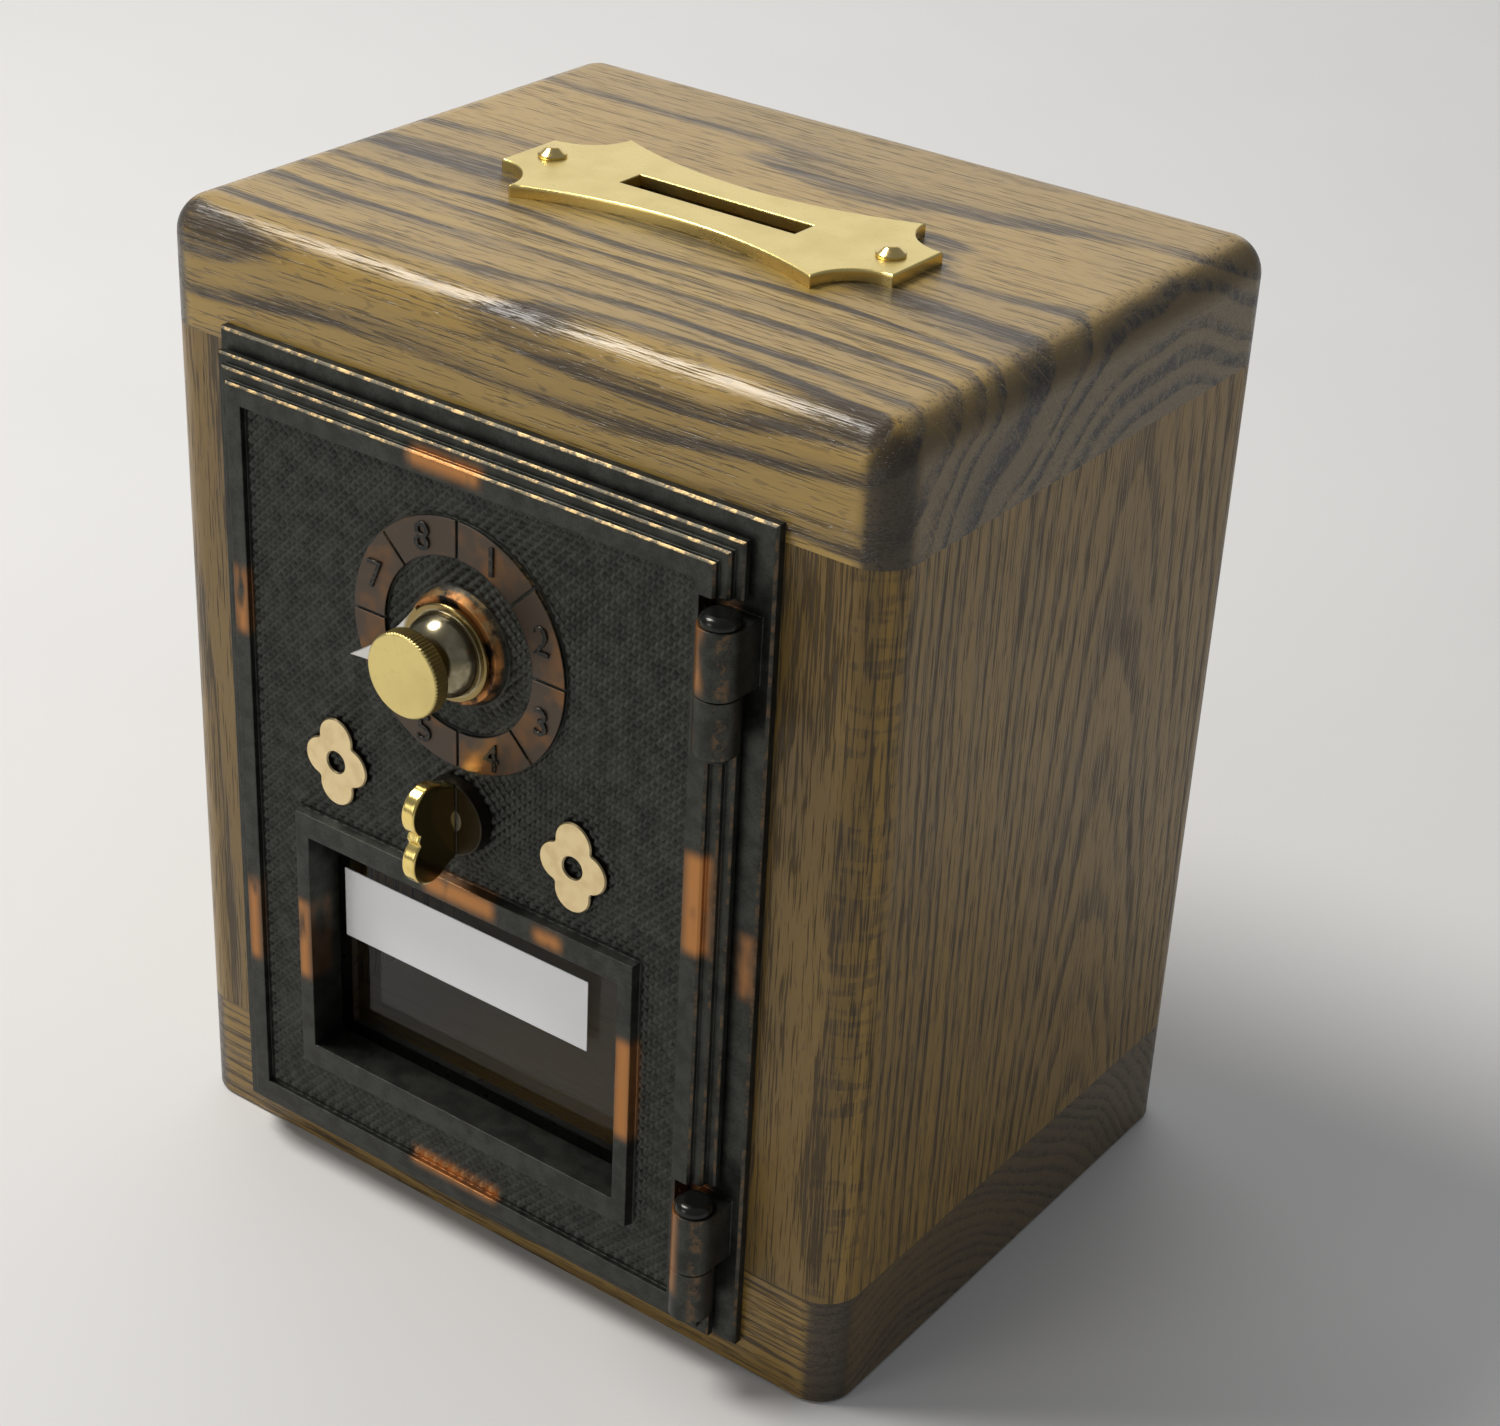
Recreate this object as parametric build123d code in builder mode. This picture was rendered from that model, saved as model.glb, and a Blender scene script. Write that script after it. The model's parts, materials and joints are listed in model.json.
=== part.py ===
from build123d import *
import os
from math import cos, radians, sin

os.makedirs("parts", exist_ok=True)

# Millimetres. X runs to the right, -Y to the front, +Z up. The origin is the middle of the case's underside.

# Oak case
CASE_W = 121.0
CASE_D = 93.0
CASE_H = 147.5
BOARD_T = 18.0
CORNER_R = 5.6
EDGE_R = 5.5
BACK_T = 6.0
RABBET_W = 6.0
DOWEL_R = 3.0
DOWEL_L = 24.0
DOWEL_INSET = 22.0
FOOT_CHAMFER = 0.5
BACK_SCREW_HEIGHTS = (32.0, 73.75, 115.5)
BACK_SCREW = {"head_r": 2.6, "head_t": 1.5, "shank_r": 1.3, "length": 18.0}
DRIVER_SLOT_W = 0.6
DRIVER_SLOT_DEPTH = 0.6

# Coin plate let on to the lid
PLATE_Y = -1.8
PLATE_T = 1.8
PLATE_HALF_L = 32.9
PLATE_END_HALF_W = 5.8
EAR_X = 25.2
EAR_Y = 13.4
PLATE_SIDE_SAG = 5.2
PLATE_NOTCH_SAG = 2.3
COIN_SLOT_L = 29.6
COIN_SLOT_W = 4.6
WOOD_SLOT_MARGIN = 0.6
PLATE_PIN_X = 28.6
PLATE_PIN_HEAD_R = 2.1
PLATE_PIN_SHANK_R = 0.7
PLATE_PIN_L = 10.0
PLATE_PIN_RIM_T = 0.4
PLATE_PIN_CROWN_R = 0.8
PLATE_PIN_CROWN_RISE = 1.0
PLATE_PIN_CROWN_FILLET = 0.6
PLATE_EDGE_R = 0.35

# Door frame: flange on the wood, sleeve inside the case
FLANGE_X0 = -48.2
FLANGE_X1 = 45.2
FLANGE_Z0 = 5.1
FLANGE_Z1 = 132.1
FLANGE_T = 1.5
FLANGE_CHAMFER = 0.35
SLEEVE_HALF_W = 42.3
SLEEVE_T = 2.4
SLEEVE_TOP = 129.3
SLEEVE_DEPTH = 12.0
OPENING_X1 = 36.0
OPENING_Z0 = 18.0
OPENING_Z1 = 126.0
FRAME_SCREW_HEIGHTS = (32.0, 108.0)
FRAME_SCREW = {"head_r": 2.3, "head_t": 1.2, "shank_r": 1.2, "length": 14.0}

# Hinges: the frame's knuckle stands on the door's knuckle
HINGE_X = 40.6
HINGE_Y = -52.6
KNUCKLE_R = 3.0
KNUCKLE_GAP = 0.1
KNUCKLE_WEB = 2.0
HINGE_PIN_R = 1.2
HINGE_HEAD_H = 1.6
HINGE_HEAD_FILLET = 1.2
PIN_FOOT_R = 2.0
PIN_FOOT_T = 0.7
PIN_FOOT_GAP = 0.2
RUNNING_FIT = 0.1
FRAME_KNUCKLE_H = 9.4
DOOR_KNUCKLE_H = 8.0
HINGE_SPLITS = (20.5, 109.8)
HINGE_HEAD_R = 2.7

# Door casting
DOOR_X0 = -47.2
DOOR_X1 = 41.6
DOOR_Z0 = 5.8
DOOR_Z1 = 129.3
DOOR_GAP = 0.4
BASE_STEP = 1.2
MIDDLE_STEP = 1.0
RIM_STEP = 0.9
MIDDLE_INSET = 1.4
RIM_INSET = 3.0
FIELD_INSET = 5.9
STEP_CHAMFER = 0.3
NOTCH_X = 36.4
NOTCH_CLEARANCE = 0.8

# Dial
DIAL_X = -2.9
DIAL_Z = 100.2
RING_OUT_R = 18.3
RING_IN_R = 12.9
RING_RISE = 0.6
RING_GROOVE = 0.35
RING_GROOVE_W = 0.5
RING_GROOVE_OVERRUN = 0.5
RING_SECTORS = 8
BOSS_R = 8.5
BOSS_RISE = 1.8
BOSS_TAPER = 24.0
POINTER_ANGLE = 199.5
POINTER_R = 18.3
POINTER_T = 0.8
POINTER_ROOT_X = 3.2
POINTER_ROOT_HALF_W = 6.6
POINTER_NECK_X = 14.8
POINTER_NECK_HALF_W = 0.9
POINTER_SAG = 0.5
BELL_GAP = 0.3
BELL_H = 6.8
BELL_FLANGE_R = 7.0
BELL_FLANGE_T = 0.8
BELL_FLANGE_FILLET = 0.3
BELL_SHOULDER_R = 6.0
BELL_WAIST = (3.3, 5.2)
BELL_CROWN = (4.9, 3.4)
BELL_NECK_R = 3.2
GRIP_R = 6.05
GRIP_T = 2.5
GRIP_FLUTES = 72
GRIP_FLUTE_SIDE = 0.28
GRIP_CHAMFER = 0.25
GRIP_SOCKET = 1.6
DIAL_SPINDLE_R = 2.5

# Thumb turn
THUMB_X = -2.9
THUMB_Z = 74.6
THUMB_GAP = 0.3
THUMB_BASE_R = 5.8
THUMB_BASE_T = 1.9
THUMB_BASE_TAPER = 8.0
THUMB_SPINDLE_R = 2.0
WING_T = 2.2
WING_FRONT = -61.4
WING_LOBE_R = 3.8
WING_LOBE_Z = 3.7
WING_ROOT_HALF_W = 5.4
WING_ROOT_BITE = 0.4
WING_WAIST = 1.0
WING_SHOULDER_STEP = 0.6
WING_SHOULDER_DROP = 0.2
WING_FILLET = 0.35

# Window
WINDOW_X = -2.4
WINDOW_Z = 41.8
BEZEL_W = 62.0
BEZEL_H = 44.0
BEZEL_RISE = 1.4
BEZEL_TAPER = 12.0
LIGHT_W = 56.6
LIGHT_H = 36.2
TUBE_T = 1.6
GLASS_FRONT = -46.0
GLASS_T = 2.0
GLASS_W = 59.0
GLASS_H = 38.6
LABEL_W = 45.5
LABEL_H = 11.6
LABEL_X = -6.5
LABEL_Z = 46.9
LABEL_T = 0.15
RETAINER_W = 71.0
RETAINER_H = 40.4
RETAINER_T = 1.2
RETAINER_SCREW_X = 33.0
RETAINER_SCREW_Z = 12.0
RETAINER_LAP = 1.0
RETAINER_BOSS_R = 2.3
RETAINER_SCREW_R = 0.9
RETAINER_SCREW_BITE = 3.6
RETAINER_HEAD_R = 1.9
RETAINER_HEAD_T = 1.1

# Raised ornaments
ORNAMENT_RISE = 1.0
ORNAMENT_W = 11.4
ORNAMENT_H = 13.8
ORNAMENT_CREASE_R = 0.5
ORNAMENT_CHAMFER = 0.2
LEFT_ORNAMENT = (-25.2, 74.3)
RIGHT_ORNAMENT = (17.5, 74.4)

# Lock behind the door
WHEEL_R = 14.0
WHEEL_T = 1.2
WHEEL_PITCH = 2.2
WHEEL_COUNT = 3
WHEEL_GAP = 0.3
POST_R = 3.5
POST_SHOULDER_GAP = 0.25
SPINDLE_SHORT = 0.4
POST_FLANGE_R = 6.0
SPACER_R = 5.5
SPACER_T = 0.5
LUG_RADIUS = 9.5
LUG_R = 0.9
LUG_L = 0.7
LUG_TURN = 22.0
NOSE_R = 14.2
NOSE_W = 3.2
NOSE_CLEARANCE = 0.4
CAM_HUB_R = 4.0
CAM_DOOR_GAP = 0.5
CAM_BOLT_GAP = 0.6
CRANK_R = 4.0
CRANK_PIN_R = 1.0
CRANK_PIN_OVERRUN = 0.2
CRANK_BOSS_T = 2.0
CRANK_SLOT_SIDE_GAP = 0.3
CRANK_SLOT_END_GAP = 0.4
SWING = 45.0
BOLT_Z0 = 66.3
BOLT_H = 7.0
BOLT_T = 2.1
BOLT_TIP_X = -38.4
BOLT_TAIL_X0 = -8.0
BOLT_TAIL_X1 = 7.0
BOLT_TAIL_H = 9.3
BOLT_SLOT_GAP = 0.35
POCKET_GAP = 2.1
POCKET_IN_WOOD = 4.2
LOCK_CASE_W = 48.0
LOCK_CASE_H = 54.0
LOCK_CASE_T = 1.6
LOCK_CASE_Z = 91.4
LOCK_CASE_BACK = -36.2
BOLT_COVER_GAP = 0.7
LOCK_COVER_T = 1.4
COVER_SCREW_INSET = 3.4
COVER_SCREW_HEIGHTS = (82.0, 115.0)
COVER_SCREW_R = 1.1
COVER_SCREW_BITE = 1.6
COVER_SCREW_POST_R = 3.0
COVER_HEAD_R = 2.1
COVER_HEAD_T = 1.2
GUIDE_X = -21.0
GUIDE_W = 7.0
GUIDE_H = 3.0
GUIDE_GAP = 0.3
GUIDE_FRONT_GAP = 0.7
GUIDE_STRAP_T = 0.4
RIVET_STEP = 1.7
RIVET_R = 0.8
RIVET_HEAD_R = 1.4
RIVET_HEAD_T = 0.7

# Sizes worked out from the ones above
CASE_FRONT = -CASE_D / 2
SIDE_Z0 = BOARD_T
SIDE_Z1 = CASE_H - BOARD_T
SIDE_INNER = CASE_W / 2 - BOARD_T
FLANGE_FRONT = CASE_FRONT - FLANGE_T
SLEEVE_BACK = CASE_FRONT + SLEEVE_DEPTH
DOOR_BACK = FLANGE_FRONT - DOOR_GAP
FIELD = DOOR_BACK - BASE_STEP - MIDDLE_STEP
RIM = FIELD - RIM_STEP
RING = FIELD - RING_RISE
BOSS = FIELD - BOSS_RISE
DOOR_W = DOOR_X1 - DOOR_X0
DOOR_H = DOOR_Z1 - DOOR_Z0
DOOR_CENTRE = ((DOOR_X0 + DOOR_X1) / 2, (DOOR_Z0 + DOOR_Z1) / 2)
DRIVE_WHEEL_BACK = DOOR_BACK + WHEEL_GAP + WHEEL_T
POST_FRONT = DRIVE_WHEEL_BACK + WHEEL_GAP
FIRST_WHEEL_BACK = DRIVE_WHEEL_BACK + WHEEL_PITCH
LAST_WHEEL_BACK = FIRST_WHEEL_BACK + (WHEEL_COUNT - 1) * WHEEL_PITCH
BOLT_BACK = LOCK_CASE_BACK - BOLT_COVER_GAP
BOLT_FRONT = BOLT_BACK - BOLT_T
CAM_BACK = BOLT_FRONT - CAM_BOLT_GAP
CAM_FRONT = DOOR_BACK + CAM_DOOR_GAP
LOCK_COVER_BACK = LOCK_CASE_BACK + LOCK_COVER_T
LOCK_FLOOR = LOCK_CASE_Z - LOCK_CASE_H / 2 + LOCK_CASE_T
LOCK_INNER_X0 = DIAL_X - LOCK_CASE_W / 2 + LOCK_CASE_T


def facing(y):
    """A plane at depth y: its sketches are drawn in X and Z and extrude towards the front."""
    return Plane.XZ.offset(-y)


def towards(x, y, z, direction):
    """A plane at a point whose normal is the direction that a screw's head faces."""
    return Plane(origin=(x, y, z), z_dir=direction)


def countersunk_screw(head_r, head_t, shank_r, length, mode=Mode.ADD):
    """A flat-headed screw below the current location's XY plane."""
    Cone(shank_r, head_r, head_t, align=(Align.CENTER, Align.CENTER, Align.MAX), mode=mode)
    Cylinder(shank_r, length, align=(Align.CENTER, Align.CENTER, Align.MAX), mode=mode)


def driver_slot(head_r):
    """The screwdriver slot across a head at the current location."""
    Box(2 * head_r, DRIVER_SLOT_W, 2 * DRIVER_SLOT_DEPTH, mode=Mode.SUBTRACT)


# ---------------------------------------------------------------- oak case

dowel_spots = [
    (sign * (CASE_W - BOARD_T) / 2, y)
    for sign in (-1, 1)
    for y in (CASE_FRONT + DOWEL_INSET, -CASE_FRONT - DOWEL_INSET)
]
back_screw_planes = [
    towards(sign * (SIDE_INNER + RABBET_W / 2), -CASE_FRONT, z, (0, 1, 0))
    for sign in (-1, 1)
    for z in BACK_SCREW_HEIGHTS
]
frame_screw_planes = [
    towards(sign * (SLEEVE_HALF_W - SLEEVE_T), CASE_FRONT + SLEEVE_DEPTH / 2, z, (-sign, 0, 0))
    for sign in (-1, 1)
    for z in FRAME_SCREW_HEIGHTS
]
plate_pin_spots = [(sign * PLATE_PIN_X, PLATE_Y, CASE_H) for sign in (-1, 1)]

with BuildPart() as top_board:
    with BuildSketch(Plane.XY.offset(SIDE_Z1)):
        RectangleRounded(CASE_W, CASE_D, CORNER_R)
    extrude(amount=BOARD_T)
    fillet(top_board.faces().sort_by(Axis.Z)[-1].edges(), EDGE_R)
    with BuildSketch(Plane.XY.offset(SIDE_Z1)):
        with Locations((0, PLATE_Y)):
            Rectangle(COIN_SLOT_L + 2 * WOOD_SLOT_MARGIN, COIN_SLOT_W + 2 * WOOD_SLOT_MARGIN)
    extrude(amount=BOARD_T, mode=Mode.SUBTRACT)
    with BuildSketch(Plane.XY.offset(SIDE_Z1)):
        with Locations(*dowel_spots):
            Circle(DOWEL_R)
    extrude(amount=DOWEL_L / 2, mode=Mode.SUBTRACT)
    with Locations(*plate_pin_spots):
        Cylinder(
            PLATE_PIN_SHANK_R, PLATE_PIN_L, align=(Align.CENTER, Align.CENTER, Align.MAX), mode=Mode.SUBTRACT
        )
top_board.part.label = "top_board"
export_step(top_board.part, "parts/top_board.step")

with BuildPart() as bottom_board:
    with BuildSketch(Plane.XY):
        RectangleRounded(CASE_W, CASE_D, CORNER_R)
    extrude(amount=BOARD_T)
    chamfer(bottom_board.faces().sort_by(Axis.Z)[0].edges(), FOOT_CHAMFER)
    with BuildSketch(Plane.XY.offset(BOARD_T)):
        with Locations(*dowel_spots):
            Circle(DOWEL_R)
    extrude(amount=-DOWEL_L / 2, mode=Mode.SUBTRACT)
bottom_board.part.label = "bottom_board"
export_step(bottom_board.part, "parts/bottom_board.step")


def side_board(sign):
    """One upright side of the case; sign is -1 for the left and 1 for the right."""
    with BuildPart() as board:
        with BuildSketch(Plane.XY.offset(SIDE_Z0)) as outline:
            with Locations((sign * (CASE_W / 2 - BOARD_T / 2), 0)):
                Rectangle(BOARD_T, CASE_D)
            outer = outline.vertices().group_by(Axis.X)[-1 if sign > 0 else 0]
            fillet(outer, CORNER_R)
        extrude(amount=SIDE_Z1 - SIDE_Z0)
        with BuildSketch(Plane.XY.offset(SIDE_Z0)):
            with Locations((sign * (SIDE_INNER + RABBET_W / 2), -CASE_FRONT - BACK_T / 2)):
                Rectangle(RABBET_W, BACK_T)
        extrude(amount=SIDE_Z1 - SIDE_Z0, mode=Mode.SUBTRACT)
        for z, depth in ((SIDE_Z0, DOWEL_L / 2), (SIDE_Z1, -DOWEL_L / 2)):
            with BuildSketch(Plane.XY.offset(z)):
                with Locations(*[spot for spot in dowel_spots if spot[0] * sign > 0]):
                    Circle(DOWEL_R)
            extrude(amount=depth, mode=Mode.SUBTRACT)
        with Locations(*[plane for plane in back_screw_planes if plane.origin.X * sign > 0]):
            countersunk_screw(**BACK_SCREW, mode=Mode.SUBTRACT)
        with Locations(*[plane for plane in frame_screw_planes if plane.origin.X * sign > 0]):
            countersunk_screw(**FRAME_SCREW, mode=Mode.SUBTRACT)
    return board


# The bolt's pocket is a notch in the back edge of the frame's sleeve and goes on into the left board.
pocket_x0 = -SIDE_INNER - POCKET_IN_WOOD
pocket_y0 = BOLT_FRONT - POCKET_GAP
pocket_y = (pocket_y0 + SLEEVE_BACK) / 2
pocket_z = BOLT_Z0 + BOLT_H / 2
pocket_d = SLEEVE_BACK - pocket_y0
pocket_h = BOLT_H + 2 * POCKET_GAP

with BuildPart() as left_side:
    add(side_board(-1).part)
    with Locations(((pocket_x0 - SIDE_INNER) / 2, pocket_y, pocket_z)):
        Box(-SIDE_INNER - pocket_x0, pocket_d, pocket_h, mode=Mode.SUBTRACT)
left_side.part.label = "left_side"
export_step(left_side.part, "parts/left_side.step")

with BuildPart() as right_side:
    add(side_board(1).part)
right_side.part.label = "right_side"
export_step(right_side.part, "parts/right_side.step")

with BuildPart() as back_panel:
    with BuildSketch(Plane.XY.offset(SIDE_Z0)):
        with Locations((0, -CASE_FRONT - BACK_T / 2)):
            Rectangle(2 * (SIDE_INNER + RABBET_W), BACK_T)
    extrude(amount=SIDE_Z1 - SIDE_Z0)
    with Locations(*back_screw_planes):
        countersunk_screw(**BACK_SCREW, mode=Mode.SUBTRACT)
back_panel.part.label = "back_panel"
export_step(back_panel.part, "parts/back_panel.step")

with BuildPart() as back_screws:
    with Locations(*back_screw_planes):
        countersunk_screw(**BACK_SCREW)
        driver_slot(BACK_SCREW["head_r"])
back_screws.part.label = "back_screws"
export_step(back_screws.part, "parts/back_screws.step")

with BuildPart() as dowels:
    for z in (SIDE_Z0, SIDE_Z1):
        with BuildSketch(Plane.XY.offset(z - DOWEL_L / 2)):
            with Locations(*dowel_spots):
                Circle(DOWEL_R)
        extrude(amount=DOWEL_L)
dowels.part.label = "dowels"
export_step(dowels.part, "parts/dowels.step")

# ---------------------------------------------------------------- coin plate

with BuildPart() as slot_plate:
    with BuildSketch(Plane.XY.offset(CASE_H)):
        with BuildLine():
            side_arc = SagittaArc(
                (-EAR_X, PLATE_Y + EAR_Y), (EAR_X, PLATE_Y + EAR_Y), -PLATE_SIDE_SAG
            )
            notch_arc = SagittaArc(
                side_arc @ 1, (PLATE_HALF_L, PLATE_Y + PLATE_END_HALF_W), -PLATE_NOTCH_SAG
            )
            Line(notch_arc @ 1, (PLATE_HALF_L, PLATE_Y))
            second_notch = SagittaArc(
                (-PLATE_HALF_L, PLATE_Y + PLATE_END_HALF_W), side_arc @ 0, -PLATE_NOTCH_SAG
            )
            Line(second_notch @ 0, (-PLATE_HALF_L, PLATE_Y))
            mirror(about=Plane.XZ.offset(-PLATE_Y))
        make_face()
    extrude(amount=PLATE_T)
    fillet(slot_plate.faces().sort_by(Axis.Z)[-1].edges(), PLATE_EDGE_R)
    with Locations((0, PLATE_Y, CASE_H + PLATE_T / 2)):
        Box(COIN_SLOT_L, COIN_SLOT_W, PLATE_T, mode=Mode.SUBTRACT)
    with Locations(*plate_pin_spots):
        Cylinder(PLATE_PIN_SHANK_R, 4 * PLATE_T, mode=Mode.SUBTRACT)
slot_plate.part.label = "slot_plate"
export_step(slot_plate.part, "parts/slot_plate.step")

with BuildPart() as plate_pins:
    with Locations(*[(x, y, z + PLATE_T) for x, y, z in plate_pin_spots]):
        Cylinder(PLATE_PIN_HEAD_R, PLATE_PIN_RIM_T, align=(Align.CENTER, Align.CENTER, Align.MIN))
        Cylinder(PLATE_PIN_SHANK_R, PLATE_PIN_L + PLATE_T, align=(Align.CENTER, Align.CENTER, Align.MAX))
    with Locations(*[(x, y, z + PLATE_T + PLATE_PIN_RIM_T) for x, y, z in plate_pin_spots]):
        Cone(
            PLATE_PIN_HEAD_R,
            PLATE_PIN_CROWN_R,
            PLATE_PIN_CROWN_RISE,
            align=(Align.CENTER, Align.CENTER, Align.MIN),
        )
    fillet(plate_pins.edges().filter_by(GeomType.CIRCLE).group_by(Axis.Z)[-1], PLATE_PIN_CROWN_FILLET)
plate_pins.part.label = "plate_pins"
export_step(plate_pins.part, "parts/plate_pins.step")

# ---------------------------------------------------------------- door frame and hinge pins

with BuildPart() as door_frame:
    with BuildSketch(facing(CASE_FRONT)):
        with Locations(((FLANGE_X0 + FLANGE_X1) / 2, (FLANGE_Z0 + FLANGE_Z1) / 2)):
            Rectangle(FLANGE_X1 - FLANGE_X0, FLANGE_Z1 - FLANGE_Z0)
    extrude(amount=FLANGE_T)
    chamfer(door_frame.faces().sort_by(Axis.Y)[0].edges(), FLANGE_CHAMFER)
    opening_x0 = SLEEVE_T - SLEEVE_HALF_W
    with BuildSketch(facing(CASE_FRONT)):
        with Locations(((opening_x0 + OPENING_X1) / 2, (OPENING_Z0 + OPENING_Z1) / 2)):
            Rectangle(OPENING_X1 - opening_x0, OPENING_Z1 - OPENING_Z0)
    extrude(amount=FLANGE_T, mode=Mode.SUBTRACT)
    sleeve_h = SLEEVE_TOP - OPENING_Z0
    with BuildSketch(facing(SLEEVE_BACK)):
        with Locations((0, OPENING_Z0 + sleeve_h / 2)):
            Rectangle(2 * SLEEVE_HALF_W, sleeve_h)
        with Locations((0, OPENING_Z0 + (sleeve_h - SLEEVE_T) / 2)):
            Rectangle(2 * (SLEEVE_HALF_W - SLEEVE_T), sleeve_h - SLEEVE_T, mode=Mode.SUBTRACT)
    extrude(amount=SLEEVE_DEPTH)
    for split in HINGE_SPLITS:
        with BuildSketch(Plane.XY.offset(split + KNUCKLE_GAP)):
            with Locations((HINGE_X, HINGE_Y)):
                Circle(KNUCKLE_R)
            with Locations((HINGE_X + KNUCKLE_R, HINGE_Y)):
                Rectangle(KNUCKLE_R + KNUCKLE_WEB, FLANGE_FRONT - HINGE_Y, align=(Align.MAX, Align.MIN))
            with Locations((HINGE_X, HINGE_Y)):
                Circle(HINGE_PIN_R, mode=Mode.SUBTRACT)
        extrude(amount=FRAME_KNUCKLE_H)
    with Locations((-SLEEVE_HALF_W + SLEEVE_T / 2, pocket_y, pocket_z)):
        Box(SLEEVE_T, pocket_d, pocket_h, mode=Mode.SUBTRACT)
    with Locations(*frame_screw_planes):
        countersunk_screw(**FRAME_SCREW, mode=Mode.SUBTRACT)
door_frame.part.label = "door_frame"
export_step(door_frame.part, "parts/door_frame.step")

with BuildPart() as frame_screws:
    with Locations(*frame_screw_planes):
        countersunk_screw(**FRAME_SCREW)
        driver_slot(FRAME_SCREW["head_r"])
frame_screws.part.label = "frame_screws"
export_step(frame_screws.part, "parts/frame_screws.step")

with BuildPart() as hinge_pins:
    for split in HINGE_SPLITS:
        knuckle_top = split + KNUCKLE_GAP + FRAME_KNUCKLE_H
        foot = split - KNUCKLE_GAP - DOOR_KNUCKLE_H - PIN_FOOT_GAP
        with Locations((HINGE_X, HINGE_Y, foot)):
            Cylinder(HINGE_PIN_R, knuckle_top - foot, align=(Align.CENTER, Align.CENTER, Align.MIN))
            Cylinder(PIN_FOOT_R, PIN_FOOT_T, align=(Align.CENTER, Align.CENTER, Align.MAX))
        with Locations((HINGE_X, HINGE_Y, knuckle_top)):
            Cylinder(HINGE_HEAD_R, HINGE_HEAD_H, align=(Align.CENTER, Align.CENTER, Align.MIN))
        fillet(hinge_pins.edges().sort_by(Axis.Z)[-1], HINGE_HEAD_FILLET)
hinge_pins.part.label = "hinge_pins"
export_step(hinge_pins.part, "parts/hinge_pins.step")

# ---------------------------------------------------------------- door casting

cover_screw_spots = [
    (DIAL_X + sign * (LOCK_CASE_W / 2 - COVER_SCREW_INSET), z)
    for sign in (-1, 1)
    for z in COVER_SCREW_HEIGHTS
]
retainer_screw_spots = [
    (WINDOW_X + i * RETAINER_SCREW_X, WINDOW_Z + k * RETAINER_SCREW_Z) for i in (-1, 1) for k in (-1, 1)
]
retainer_front = GLASS_FRONT + GLASS_T

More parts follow.
